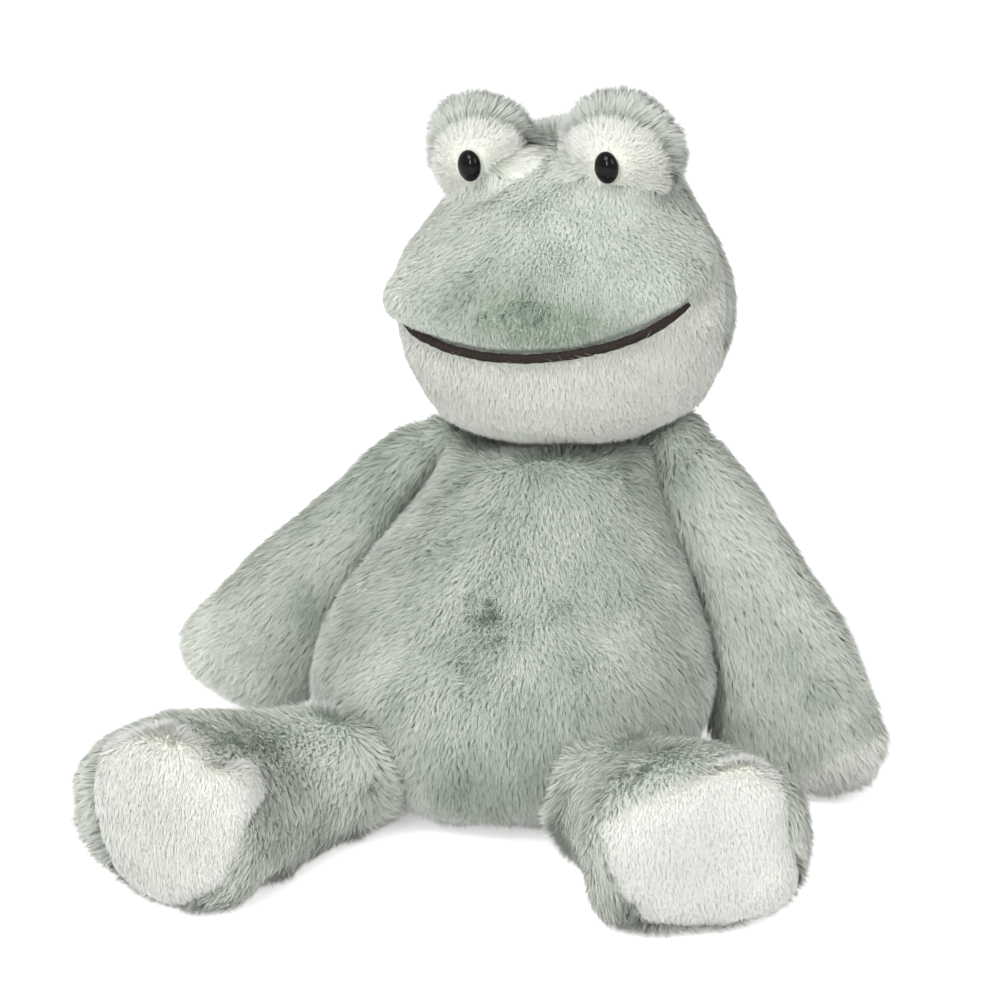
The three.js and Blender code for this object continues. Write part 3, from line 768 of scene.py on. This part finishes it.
crownTree = treeOf("head_crown")
crownMarks = [(490, 310, None, 8, 1.0), (515, 322, None, 7, 1.0), (550, 322, None, 8, 1.0),
              (583, 322, None, 7, 0.8), (455, 305, None, 8, 0.8), (470, 285, None, 7, 0.6),
              (530, 295, None, 7, 0.5)]
# Painted light and shade on the head: lighter on the lit cheek and jaw side, darker over the nose and above the
# mouth, partly as painted shade and partly ruffled pile
crownPaintedLightAndTone = [(495, 305, 22, -0.42), (555, 322, 18, -0.42), (610, 322, 14, -0.25), (440, 300, 14, -0.15),
              (410, 262, 18, 0.3), (430, 372, 18, 0.45), (690, 240, 14, 0.15), (545, 180, 20, 0.1),
              (545, 128, 12, 0.35), (508, 166, 9, 0.7)]


# Down and forwards from between the eyes, fanning out to the cheeks, short above the mouth
def crownCombing(points, normals):
    flow = combed(fanned(points, 6, -0.25, 0.9, 13, 0.18), points, crownTree, crownMarks)
    return flow, np.clip((mouthDistance(points) - 1.0 * mm) / (9 * mm), 0.48, 1)


# Down and out over the chin, short along the mouth
def jawCombing(points, normals):
    flow = fanned(points, 5, 0, 0.9, 23, 0.18)
    return flow, np.clip((mouthDistance(points) - 0.6 * mm) / (8 * mm), 0.45, 1)


def backCombing(points, normals):
    return fanned(points, 6, 0.3, 0.8, 33, 0.2), full(points)


# Straight out from the eye bump's axis all round, like the trimmed edge of a brush
def rimCombing(side):
    middle = eyeSpot(side) + np.array([0, 0, 4]) * mm

    def combing(points, normals):
        offset = (inHead(points) - middle) * [1, 0.12, 1]
        return unit(fromHead(offset)) + swirl(points, 12 * mm, 43) * 0.1, full(points)
    return combing


# Out from the eye, very short beside it so that only a few hairs cross its edge
def eyeWhiteCombing(side):
    eye = eyeSpot(side) + np.array(eyeSettings["aside"][side]) * mm

    def combing(points, normals):
        offset = (inHead(points) - eye) * [1, 0, 1]
        gap = np.linalg.norm(offset, axis=1)
        flow = unit(fromHead(offset)) * 0.85 + swirl(points, 15 * mm, 53) * 0.15
        return flow, np.clip((gap - 2 * mm) / (11 * mm), 0.3, 1) * (gap > 4.2 * mm)
    return combing


# Along an arm from its root to its end, fanning out from the pinch at the root
def armCombingOf(root, end, seed, marks, tree):
    way = unit(end - root)

    def combing(points, normals):
        flow = way + unit(points - root) * fade(points, root, 40 * mm)[:, None] * 1.2 + [0, 0, -0.1]
        return combed(flow + swirl(points, pileSwirl, seed) * 0.22, points, tree, marks), full(points)
    return combing


# Parted along the top of a leg and down its sides, forwards to the foot, and back over the seam at the hip
def legCombingOf(hip, foot, seed, marks, tree):
    way = unit(foot - hip)

    def combing(points, normals):
        offset = points - hip
        run = offset @ way
        aside = offset - run[:, None] * way
        aside[:, 2] = 0
        forwards = np.clip((run - 8 * mm) / (14 * mm), -1, 0.9)
        outwards = np.clip(np.linalg.norm(aside, axis=1) / (12 * mm), 0, 1) * 0.45
        flow = way * forwards[:, None] + unit(aside) * outwards[:, None] + [0, 0, -0.4]
        return combed(flow + swirl(points, 30 * mm, seed) * 0.3, points, tree, marks), full(points)
    return combing


def soleCombing(points, normals):
    return np.array([0.12, 0, -1.0]) + swirl(points, 20 * mm, 71) * 0.16, full(points)


# How each kind of pile is trimmed and brushed: lengths in metres, lean in degrees, the rest as shares
bodyPile = {"length": 6.8 * mm, "lean": 61, "leanSpread": 4, "spacing": 1.12 * mm, "perTuft": 6, "parts": 2,
            "width": 0.17 * mm, "wander": 0.2, "loose": 0.08, "gather": 0.24, "depth": 2.8 * mm,
            "relief": 0.09, "mottle": 0.12, "fleck": 0.06, "uneven": 0.1}
headPile = dict(bodyPile, length=5 * mm, lean=66, spacing=1.0 * mm, gather=0.14, depth=1.6 * mm, relief=0.03,
                mottle=0.035, fleck=0.035, uneven=0.07)
jawPile = dict(headPile, length=5.5 * mm, gather=0.15, depth=1.2 * mm)
rimPile = dict(bodyPile, length=10 * mm, lean=66, leanSpread=3, perTuft=10, parts=3, spacing=1.25 * mm,
               wander=0.04, loose=0.04, gather=0.02, depth=5.5 * mm, relief=0.05, fleck=0.05, uneven=0.05)
eyeWhitePile = dict(headPile, length=5.5 * mm, lean=62, wander=0.12, gather=0.1, depth=2.4 * mm, mottle=0.04)
armPile = dict(bodyPile, length=8.5 * mm, lean=64, spacing=1.15 * mm, perTuft=7, depth=2.4 * mm, gather=0.16,
               relief=0.06, fleck=0.045, mottle=0.09, width=0.18 * mm)
legPile = dict(bodyPile, length=7.5 * mm, spacing=1.15 * mm, wander=0.24)
palmPile = dict(bodyPile, length=8 * mm, gather=0.2)
solePile = dict(headPile, length=4.5 * mm, lean=70, gather=0.08, wander=0.12, mottle=0.03, fleck=0.02,
                width=0.2 * mm, relief=0.02)
gatherPile = dict(bodyPile, length=6.5 * mm, lean=64, parts=3, wander=0.25, gather=0.2, depth=-0.5 * mm)
strayPile = dict(jawPile, length=7 * mm, lean=84, parts=3, perTuft=1, wander=0.25, width=0.11 * mm)


# Which CAD node a point belongs to: the nearest, unless a claim moves the seam
def asNearest(points, normals, label):
    return label


def untoned(points, name):
    return np.zeros(len(points))


# Backing and pile for a body: looks gives each node its pile style, fabric and combing
shadeSettings = {"middle": 0.6, "mottle": 30 * mm, "speckle": 10 * mm, "speckled": 0.05, "quickSpacing": 1.6}


def dress(body, inner, looks, seed, voxel=3 * mm, sculpt=None, claim=asNearest, cloth=True, tone=untoned):
    rng = np.random.default_rng(seed)
    names = list(looks)
    depths = {name: looks[name][0]["depth"] for name in names}
    skin = Skin(body, names, inner, depths, voxel, sculpt, claim, cloth, coverSettings)
    for index, name in enumerate(names):
        _, backing, slotName = looks[name][1]
        coverPiece(skin, index, backing, slotName)
    owner = skin.label[skin.triangles]
    total = 0
    for index, name in enumerate(names):
        style, (material, _, slotName), combing = looks[name]
        spacing = style["spacing"] * 1
        picked, weights = tuftRoots(skin, spacing, rng)
        share = ((owner[picked] == index) * weights).sum(1)
        picked, weights = picked[share > 0.5], weights[share > 0.5]
        if len(picked) == 0:
            continue
        roots = onSkin(skin, skin.points, picked, weights)
        normals = unit(onSkin(skin, skin.normals, picked, weights))
        shade = shadeSettings["middle"] + waves(roots, shadeSettings["mottle"], seed + index) * style["mottle"]
        shade += waves(roots, shadeSettings["speckle"], seed + index + 3) * shadeSettings["speckled"]
        # tone adds each body's painted light and shade
        shade += rng.normal(0, style["fleck"] * 0.75, len(roots)) + tone(roots, name)
        flow, scale = combing(roots, normals)
        kept = scale > 0.05
        tufts = [values[kept] for values in (roots, normals, flow, shade, scale)]
        total += growPile(name + "_pile", body, slotName, material, tufts, dict(style, spacing=spacing), rng)
    say(f"{body}: {len(skin.points)} skin points, {total} fibres")


dress("torso", ["torso_filling"], {
    "torso_front": (bodyPile, sageFabric, torsoCombing),
    "torso_back": (bodyPile, sageFabric, torsoCombing)}, 100, sculpt=torsoSculpt, tone=torsoTone)


# Mouth: a twisted felt cord laid in the seam between lip and jaw, in the slanting plane of the CAD cord
mouthSettings = {"front": (0, -66, 53), "slope": 23, "middle": 60.7, "halfAngle": 86, "points": 104,
                 "leftPixel": 404, "rightPixel": 697, "halfThickness": 2.2, "halfDepth": 1.9, "sides": 18,
                 "rings": 260, "plies": 3, "pitch": 7.0, "bulge": 0.05, "sink": -0.3, "taper": 16 * mm}


def mouthLine(settings):
    slope = math.radians(settings["slope"])
    back = np.array([0, math.cos(slope), math.sin(slope)])
    middle = (np.array(settings["front"]) + back * settings["middle"]) * mm
    tree = treeOf("mouth_cord")
    line = []
    for angle in np.radians(np.linspace(-settings["halfAngle"], settings["halfAngle"], settings["points"])):
        way = np.array([math.sin(angle), 0, 0]) - back * math.cos(angle)
        outside = Vector(fromHead(middle + way * 0.2) + headOrigin)
        inwards = Vector(fromHead(-way))
        hit = tree.ray_cast(outside, inwards)[0] or crownTree.ray_cast(outside, inwards)[0]
        if hit is not None:
            line.append(np.array(hit))
    line = np.array(line)
    x, y = pixelsOf(line)
    line = line[(x > settings["leftPixel"]) & (x < settings["rightPixel"])]
    x, y = pixelsOf(line)
    print(f"  mouth from pixel {x[0]:.0f},{y[0]:.0f} to {x[-1]:.0f},{y[-1]:.0f}")
    for _ in range(6):
        line[1:-1] = (line[:-2] + line[2:]) / 4 + line[1:-1] / 2
    return line, fromHead(np.array([0, -math.sin(slope), math.cos(slope)]))


mouthPath, mouthUp = mouthLine(mouthSettings)
mouthAhead = unit(np.gradient(mouthPath, axis=0))
mouthOut = unit(np.cross(mouthAhead, mouthUp))
mouthOut *= np.sign(mouthOut[len(mouthOut) // 2] @ headForward)


def mouthDistance(points):
    return np.min([np.linalg.norm(points - place, axis=1) for place in mouthPath], axis=0)


def mouthCord(settings):
    run = np.concatenate([[0], np.cumsum(np.linalg.norm(np.diff(mouthPath, axis=0), axis=1))])
    print(f"  mouth cord {run[-1] / mm:.0f} mm long")
    steps = np.linspace(0, run[-1], settings["rings"])
    at, out = [np.stack([np.interp(steps, run, column) for column in values.T], 1)
               for values in (mouthPath, mouthOut)]
    taper = np.minimum(1, 0.5 + np.minimum(steps, (run[-1] - steps) * 0.5) / settings["taper"])
    around = np.linspace(0, 2 * math.pi, settings["sides"], endpoint=False)
    twist = settings["plies"] * around + 2 * math.pi * steps[:, None] / (settings["pitch"] * mm)
    swell = (1 + settings["bulge"] * np.cos(twist)) * mm * taper[:, None]
    up = np.sin(around) * settings["halfThickness"] * swell
    forward = np.cos(around) * settings["halfDepth"] * swell - settings["sink"] * mm
    points = at[:, None] + mouthUp * up[..., None] + unit(out)[:, None] * forward[..., None]
    faces = ringFaces(settings["rings"], settings["sides"])
    piece = makeMesh("mouth_cord_felt", points.reshape(-1, 3), faces, mouthYarn)
    fitted(piece, "head", "mouth_cord", "mouth_cord")


mouthCord(mouthSettings)


# Eyes: a polished black dome on its shank, a little taller than wide, leaning aside from its washer as the
# photograph shows them; lengths in mm
eyeSettings = {"radius": 5.8, "dome": 4.6, "shankRadius": 1.8, "shank": 14, "tall": 1.27, "rings": 14,
               "sides": 48, "back": 4.5, "edge": 0.3, "lift": 0.25, "point": 0.01,
               "aside": {"left": (2.5, 0, 1.0), "right": (3.2, 0, 0)}}


def eyeSpot(side):
    return inHead(middleOf("safety_eye_" + side))


headNodes = ["head_crown", "head_back", "head_jaw"]
headNodes += [kind + side for kind in ["eye_rim_", "eye_white_"] for side in sides]
# Edge of each eye white as the photograph shows it: the forehead stands before its lower inner part
whiteOutlines = {
    "right": [(426, 203), (428, 175), (430, 158), (433, 141), (446, 126), (473, 116), (500, 118), (519, 127),
              (532, 139), (524, 149), (510, 157), (498, 165), (488, 173), (477, 184), (458, 191), (441, 202)],
    "left": [(561, 145), (567, 129), (583, 122), (606, 117), (629, 119), (647, 129), (663, 145), (669, 161),
             (673, 189), (656, 193), (638, 188), (619, 187), (597, 185), (582, 175), (569, 160)]}
# The lip swells out over the cord and the cheeks round its ends; the cord lies in a crease. In mm, and the
# far cheek's edges in pixels
headShape = {"lipHeight": 2.0, "lipAbove": 11, "lipWidth": 8, "lipReach": 12, "creaseDepth": 2.5,
             "creaseWidth": 4, "cheekHeight": 2.6, "cheekLeft": 690, "cheekAcross": 35, "cheekTop": 215,
             "cheekDown": 30,
             "cornerSwellings": [(mouthPath[0], 17, 4.5), (mouthPath[-1], 15, 2)],
             "swellings": [(mouthPath[0] + fromHead(np.array([-6, 0, 14]) * mm), 13, 4.5),
                           (beside("eye_rim_left", 26, 0, -2), 15, 3.5),
                           (beside("eye_rim_right", 0, 0, 24), 16, -3.5)],
             "eyeCrease": 1.2, "eyePlump": 1.2, "jawEdge": 721}


def headSculpt(points, normals, label):
    form = headShape
    nearest = np.argmin([np.linalg.norm(points - place, axis=1) for place in mouthPath], axis=0)
    offset = points - mouthPath[nearest]
    gap = np.linalg.norm(offset, axis=1) / mm
    above = offset @ mouthUp / mm
    lip = np.exp(-((above - form["lipAbove"]) / form["lipWidth"]) ** 2)
    lip *= np.exp(-(np.maximum(gap - form["lipReach"], 0) / form["lipWidth"]) ** 2)
    crease = np.exp(-(gap / form["creaseWidth"]) ** 2)
    relief = (lip * form["lipHeight"] - crease * form["creaseDepth"]) * mm
    relief += swollen(points, form["cornerSwellings"]) * (above > 0) + swollen(points, form["swellings"])
    x, y = pixelsOf(points)
    cheek = np.clip((x - form["cheekLeft"]) / form["cheekAcross"], 0, 1)
    cheek *= np.clip((y - form["cheekTop"]) / form["cheekDown"], 0, 1)
    relief += cheek * form["cheekHeight"] * mm
    for side in sides:
        white = label == headNodes.index("eye_white_" + side)
        relief += plumped(points, white, form["eyeCrease"], form["eyePlump"])
    return relief


# The whites reach to their outlines where the camera sees them, and the crown runs on under them
def headClaim(points, normals, label):
    label = label.copy()
    crown, back, jaw = 0, 1, 2
    facing = facingCamera(normals) > 0.0
    forwards = normals @ headForward > -0.3
    x, y = pixelsOf(points)
    for side in sides:
        white, rim = headNodes.index("eye_white_" + side), headNodes.index("eye_rim_" + side)
        offset = (inHead(points) - eyeSpot(side)) * [1, 0, 1]
        zone = facing & (np.linalg.norm(offset, axis=1) < 38 * mm)
        inside = insideOutline(x, y, whiteOutlines[side])
        label[zone & inside & np.isin(label, [crown, rim, white])] = white
        label[zone & ~inside & (label == white)] = rim
        label[(label == rim) & (offset[:, 2] < -4 * mm) & forwards] = crown
        label[~facing & (label == white) & (offset[:, 2] < -12 * mm)] = crown
    label[(label == jaw) & (facingCamera(normals) > -0.3) & (x > headShape["jawEdge"])] = back
    return label


# The head's painted light and shade with its ruffled patches, and painted shade on the rims beside the whites,
# where they fold in
def headTone(points, name):
    tone = toned(points, crownTree, crownMarks, crownPaintedLightAndTone)
    if name.startswith("eye_rim"):
        gap = np.linalg.norm((inHead(points) - eyeSpot(name[8:])) * [1, 0, 1], axis=1)
        tone -= np.exp(-((gap - 21 * mm) / (5 * mm)) ** 2) * 0.2
    return tone


dress("head", ["head_filling", "eye_filling_left", "eye_filling_right", "mouth_cord"], {
    "head_crown": (headPile, paleFabric, crownCombing),
    "head_back": (bodyPile, sageFabric, backCombing),
    "head_jaw": (jawPile, creamShadedFabric, jawCombing),
    "eye_rim_left": (rimPile, rimFabric, rimCombing("left")),
    "eye_rim_right": (rimPile, rimFabric, rimCombing("right")),
    "eye_white_left": (eyeWhitePile, creamShadedFabric, eyeWhiteCombing("left")),
    "eye_white_right": (eyeWhitePile, creamShadedFabric, eyeWhiteCombing("right"))},
    200, voxel=2.5 * mm, sculpt=headSculpt, claim=headClaim, tone=headTone)


# Single long hairs that were caught in the mouth's seam and lie across the cord
def strayHairs(count, style):
    rng = np.random.default_rng(61)
    places = rng.integers(3, len(mouthPath) - 3, count)
    ahead, out = mouthAhead[places], mouthOut[places]
    out = out * np.sign(out @ headForward)[:, None]
    roots = mouthPath[places] + out * 1.8 * mm - mouthUp * rng.uniform(1.4, 2.8, (count, 1)) * mm
    flow = mouthUp * rng.uniform(0.2, 0.5, (count, 1)) + ahead * rng.choice([-1, 1], (count, 1))
    tufts = [roots, out, flow, np.full(count, 0.5), rng.uniform(0.5, 1.2, count)]
    growPile("mouth_stray_hairs", "head", "white_plush", greenPile, tufts, style, rng)


strayHairs(90, strayPile)


def safetyEye(side, settings):
    node = "safety_eye_" + side
    points, _ = arraysOf(nodes[node].data)
    foot = middleOf(node)
    foot = foot + headForward * ((points @ headForward).max() - foot @ headForward - settings["back"] * mm)
    radius, shank, shankRadius = settings["radius"], settings["shank"], settings["shankRadius"]
    profile = [(settings["point"], -shank), (shankRadius, -shank), (shankRadius, 0)]
    profile.append((radius - settings["edge"], 0))
    for angle in np.linspace(0, math.pi / 2, settings["rings"] + 1):
        profile.append((max(radius * math.cos(angle), settings["point"]),
                        settings["lift"] + settings["dome"] * math.sin(angle)))
    around = np.linspace(0, 2 * math.pi, settings["sides"], endpoint=False)
    turned = []
    for width, reach in profile:
        height = width * np.sin(around) * settings["tall"]
        ring = np.stack([width * np.cos(around), 0 * around - reach, height], 1)
        ring += np.array(settings["aside"][side]) * (reach + shank) / shank
        turned.append(foot + fromHead(ring * mm))
    faces = ringFaces(len(profile), settings["sides"], turned=True)
    piece = makeMesh(node + "_moulded", np.concatenate(turned), faces, eyePlastic)
    fitted(piece, "head", node, "eye_plastic")


for side in sides:
    safetyEye(side, eyeSettings)

# Seams and marks of the limbs as the photograph shows them, in its pixels: outline is the white end's edge,
# marks comb or ruffle, areas lightens or darkens, mostly as painted light and shade: lighter on tops
# and ends where light falls, darker under the head and in creases; tone lightens the whole pile as painted
# light, most on the legs, whose upright pile shades itself
limbLooks = {
    "arm_left": {"outline": [(798, 764), (838, 745), (870, 730), (900, 722), (905, 765), (850, 815),
                             (815, 845), (798, 840)],
                 "marks": [(667, 463, None, 10, 0.7), (813, 683, None, 10, 0.8), (720, 520, 320, 20, 1.0),
                           (780, 640, None, 9, 0.5)],
                 "areas": [(700, 430, 12, -0.05), (760, 560, 40, 0.16), (870, 750, 14, 0.3),
                           (685, 480, 10, -0.2)],
                 "end": "palm_left", "tone": 0.05},
    "arm_right": {"outline": [(168, 640), (200, 662), (232, 690), (238, 715), (196, 712), (160, 672)],
                  "marks": [(440, 455, None, 9, 0.6), (300, 560, 235, 20, 1.0), (250, 640, None, 9, 0.5)],
                  "areas": [(385, 475, 20, -0.35), (205, 650, 28, 0.45), (300, 560, 25, -0.05),
                            (320, 620, 14, -0.15)],
                  "end": "palm_right", "tone": 0.0},
    "leg_left": {"outline": [(591, 824), (622, 803), (678, 779), (724, 759), (762, 748), (774, 775),
                             (783, 815), (785, 868), (766, 912), (696, 925), (648, 922), (614, 890),
                             (598, 850)],
                 "marks": [(685, 768, None, 7, 0.8), (640, 772, None, 8, 0.9), (590, 780, None, 8, 0.5)],
                 "areas": [(625, 772, 6, -0.4), (655, 764, 6, -0.4), (690, 768, 6, -0.35),
                           (716, 772, 5, -0.25), (650, 742, 14, 0.3), (600, 752, 14, 0.25), (560, 805, 20, 0.05),
                           (600, 830, 12, 0.1), (590, 885, 16, 0.35), (800, 850, 16, 0.35),
                           (790, 775, 12, 0.15)],
                 "end": "sole_left", "tone": 0.42},
    "leg_right": {"outline": [(87, 787), (92, 752), (104, 737), (135, 724), (179, 717), (206, 733),
                              (223, 760), (240, 752), (260, 750), (280, 780), (265, 808), (246, 850),
                              (228, 881), (179, 903), (131, 900), (112, 866), (96, 830)],
                  "marks": [(240, 737, None, 7, 0.8), (330, 762, None, 9, 0.6), (292, 800, None, 8, 0.6),
                            (370, 800, None, 9, 0.5)],
                  "areas": [(300, 735, 16, 0.25), (350, 762, 22, 0.25), (290, 815, 14, 0.3),
                            (330, 840, 20, 0.25), (262, 862, 14, 0.3), (88, 850, 14, 0.3),
                            (92, 800, 12, 0.25), (120, 740, 12, 0.25), (245, 728, 14, 0.3), (300, 782, 6, -0.25),
                            (395, 790, 8, -0.2), (165, 810, 32, -0.3)],
                  "end": "sole_right", "tone": 0.24}}


# The white end of a limb reaches to its outline where the camera sees it, and to the CAD seam elsewhere
def limbClaim(limb):
    look = limbLooks[limb]
    endTree = treeOf(look["end"])

    def claim(points, normals, label):
        label = label.copy()
        x, y = pixelsOf(points)
        inside = insideOutline(x, y, look["outline"])
        free = (facingCamera(normals) > 0.05) & (gapsTo(endTree, points) < 26 * mm)
        label[free] = np.where(inside[free], 1, 0)
        return label
    return claim


# Soles are plump inside a crease, and their lower corners swell where the foot rests: each corner as its
# offset from the sole's middle, reach and height in mm
footShape = {"crease": 2.2, "plump": 1.6, "under": 4,
             "leg_left": [((35, 10, -26), 17, 13), ((-31, 8, -27), 15, 10), ((41, 13, -2), 18, 10),
                          ((36, 12, 24), 14, 7)],
             "leg_right": [((26, 2, -28), 16, 6), ((50, 36, -28), 24, 5)]}


def footSculpt(leg):
    sole = limbLooks[leg]["end"]
    corners = [(beside(sole, *offset), reach, height) for offset, reach, height in footShape[leg]]

    def sculpt(points, normals, label):
        relief = plumped(points, label == 1, footShape["crease"], footShape["plump"])
        return relief + np.clip(-normals[:, 2], 0, 1) * footShape["under"] * mm + swollen(points, corners)
    return sculpt


# The top of an arm swells into the shoulder, its inner side towards the body, and its end where the filling
# has sunk; places, reaches and heights in mm
armShapes = {"left": {"all": 2.0, "inner": 3.6,
                      "ends": [((165, 34, 18), 17, 7), ((145, 28, 8), 18, 4), ((76, 80, 158), 16, 4)]},
             "right": {"all": 0.3, "inner": 2.6, "ends": [((-162, 52, 36), 18, 8)]}}


def armSculpt(side):
    shape = armShapes[side]
    places = [(np.array(place) * mm, reach, height) for place, reach, height in shape["ends"]]
    places.append((beside("shoulder_gather_" + side, 0, 2, 5), 18, 5))

    def sculpt(points, normals, label):
        towardsBody = np.exp(-(gapsTo(torsoTree, points) / (11 * mm)) ** 2) * shape["inner"]
        return swollen(points, places) + (towardsBody + shape["all"]) * mm
    return sculpt


# A limb's painted light and shade and ruffled patches, with its tone as painted light over all its pile; the
# green fringe round a sole is paler
def limbTone(limb, tree):
    look = limbLooks[limb]

    def tone(points, name):
        total = toned(points, tree, look["marks"], look["areas"]) + look["tone"]
        if limb.startswith("leg"):
            gap = np.linalg.norm(points - middleOf(look["end"]), axis=1)
            total += np.exp(-((gap - 45 * mm) / (14 * mm)) ** 2) * 0.15
        return total
    return tone


# The gathered seams puff up behind the jaw, more on the side that the head turns away from: heights in mm
puffs = {"left": 20, "right": 5}


def gatherSculpt(side):
    top = beside("shoulder_gather_" + side, 8, 6, 15)
    return lambda points, normals, label: swollen(points, [(top, 15, puffs[side])])


for number, side in enumerate(sides):
    arm, leg, gather = "arm_" + side, "leg_" + side, "shoulder_gather_" + side
    armTree, legTree = treeOf("arm_cover_" + side), treeOf("leg_cover_" + side)
    armCombing = armCombingOf(middleOf(gather), middleOf("palm_" + side), 31 + number * 5,
                              limbLooks[arm]["marks"], armTree)
    dress(arm, ["arm_filling_" + side], {
        "arm_cover_" + side: (armPile, sageFabric, armCombing),
        "palm_" + side: (palmPile, whiteFabric, armCombing)}, 300 + number,
        sculpt=armSculpt(side), claim=limbClaim(arm), tone=limbTone(arm, armTree))
    dress("shoulder_" + side, [], {gather: (gatherPile, sageFabric, armCombing)}, 350 + number, voxel=1.5 * mm,
          sculpt=gatherSculpt(side), cloth=False)
    legCombing = legCombingOf(jointPlaces[side + "_leg_lift"], middleOf("sole_" + side), 51 + number * 5,
                              limbLooks[leg]["marks"], legTree)
    dress(leg, ["leg_filling_" + side], {
        "leg_cover_" + side: (legPile, sageFabric, legCombing),
        "sole_" + side: (solePile, whiteFabric, soleCombing)}, 400 + number,
        sculpt=footSculpt(leg), claim=limbClaim(leg), tone=limbTone(leg, legTree))
dress("neck", [], {"neck_gather": (gatherPile, sageFabric, torsoCombing)}, 500, voxel=2 * mm, cloth=False)


# Filling: handfuls of wadding pushed into each cover, and a calico pouch of pellets in the seat
fillings = {"torso_filling": "torso", "head_filling": "head", "eye_filling_left": "head",
            "eye_filling_right": "head", "arm_filling_left": "arm_left", "arm_filling_right": "arm_right",
            "leg_filling_left": "leg_left", "leg_filling_right": "leg_right"}
fillingSettings = {"voxel": 3.2 * mm, "lump": 13 * mm, "relief": 0.8 * mm, "tuft": 5 * mm,
                   "tuftRelief": 0.3 * mm}


def keptShape(name, voxel, rounds):
    points, triangles = remeshed(*arraysOf(nodes[name].data), voxel)
    return averaged(points, edgesOf(triangles), rounds), triangles


def stuffing(name, body, settings):
    points, triangles = keptShape(name, settings["voxel"], 1)
    lumps = waves(points, settings["lump"], len(name)) * settings["relief"]
    lumps += waves(points, settings["tuft"], len(name) + 1) * settings["tuftRelief"] - settings["relief"] * 0.6
    points += normalsOf(points, triangles) * lumps[:, None]
    fitted(makeMesh(name + "_wadding", points, triangles, wadding), body, name, "fibre_filling")


for name, body in fillings.items():
    stuffing(name, body, fillingSettings)


# Pellets push small round bumps into the calico, and a seam runs round its edge
pouchSettings = {"voxel": 1.6 * mm, "pellet": 4.5 * mm, "relief": 0.35 * mm, "seam": 0.5 * mm,
                 "seamWidth": 1.2 * mm}


def pelletPouch(settings):
    points, triangles = keptShape("pellet_pouch", settings["voxel"], 2)
    bumps = waves(points, settings["pellet"], 17) * settings["relief"] - settings["relief"]
    middle = middleOf("pellet_pouch")
    edge = np.exp(-((points[:, 2] - middle[2]) / settings["seamWidth"]) ** 2) * settings["seam"]
    points += normalsOf(points, triangles) * (bumps - edge)[:, None]
    piece = makeMesh("pellet_pouch_calico", points, triangles, calico)
    fitted(piece, "torso", "pellet_pouch", "pouch_calico")


pelletPouch(pouchSettings)
say("filling")


# Nylon washers keep their CAD shape
for side in sides:
    washer = nodes["eye_washer_" + side]
    washer.data.materials.clear()
    washer.data.materials.append(washerNylon)


# Studio: white paper under a large soft light from the upper left, a smaller one to the right, a narrow one
# that the eyes catch, and pale air. Seen straight or in a reflection, air and paper are lifted to white, and
# the paper keeps the frog's shadow
studio = {"key": ((-0.6, -1.2, 1.7), (0, 0, 0.15), (1.0, 1.0), 27.5),
          "fill": ((1.3, -0.9, 1.2), (0, 0, 0.15), (0.9, 0.9), 12.0),
          "catch": ((-0.35, -1.5, 0.75), (0, 0, 0.29), (0.13, 0.6), 10.0)}
studioWhite = {"paper": "#f2f2f2", "paperLift": 0.46, "air": 0.64, "floor": 6}


def softLight(name, place, aim, size, power):
    lamp = bpy.data.objects.new(name, bpy.data.lights.new(name, "AREA"))
    lamp.data.shape = "RECTANGLE"
    lamp.data.size, lamp.data.size_y = size
    lamp.data.energy = power
    lamp.location = place
    lamp.rotation_euler = (Vector(aim) - Vector(place)).to_track_quat("-Z", "Y").to_euler()
    bpy.context.scene.collection.objects.link(lamp)


# 1 for rays from the camera and for those seen through gloss or glass
def seenRays(tree):
    path = addNode(tree, "ShaderNodeLightPath")
    either = addNode(tree, "ShaderNodeMath", {"operation": "MAXIMUM"},
                     [(0, path, "Is Camera Ray"), (1, path, "Is Glossy Ray")])
    return addNode(tree, "ShaderNodeMath", {"operation": "MAXIMUM"},
                   [(0, either, 0), (1, path, "Is Transmission Ray")])


def whitePaper(colour, lift):
    material, tree, shader = newMaterial("white_studio_paper")
    setNode(shader, {"Base Color": linear(colour), "Roughness": 0.9, "Specular IOR Level": 0.1})
    strength = addNode(tree, "ShaderNodeMath", {"operation": "MULTIPLY", 1: lift}, [(0, seenRays(tree), 0)])
    glow = addNode(tree, "ShaderNodeEmission", {"Color": (1, 1, 1, 1)}, [("Strength", strength, 0)])
    both = addNode(tree, "ShaderNodeAddShader", links=[(0, shader, 0), (1, glow, 0)])
    output = [node for node in tree.nodes if node.type == "OUTPUT_MATERIAL"][0]
    tree.links.new(both.outputs[0], output.inputs["Surface"])
    return material


for name, (place, aim, size, power) in studio.items():
    softLight(name, place, aim, size, power)
bpy.ops.mesh.primitive_plane_add(size=studioWhite["floor"], location=(0, 0, 0))
floor = bpy.context.object
floor.name = "floor"
floor.data.materials.append(whitePaper(studioWhite["paper"], studioWhite["paperLift"]))
world = bpy.data.worlds.new("studio_air")
bpy.context.scene.world = world
world.use_nodes = True
background = world.node_tree.nodes["Background"]
background.inputs["Color"].default_value = (1, 1, 1, 1)
air = addNode(world.node_tree, "ShaderNodeMath",
              {"operation": "MULTIPLY_ADD", 1: 1 - studioWhite["air"], 2: studioWhite["air"]},
              [(0, seenRays(world.node_tree), 0)])
world.node_tree.links.new(air.outputs[0], background.inputs["Strength"])
say("studio")


bpy.context.scene.view_settings.view_transform = "Standard"
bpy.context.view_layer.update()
say("done")
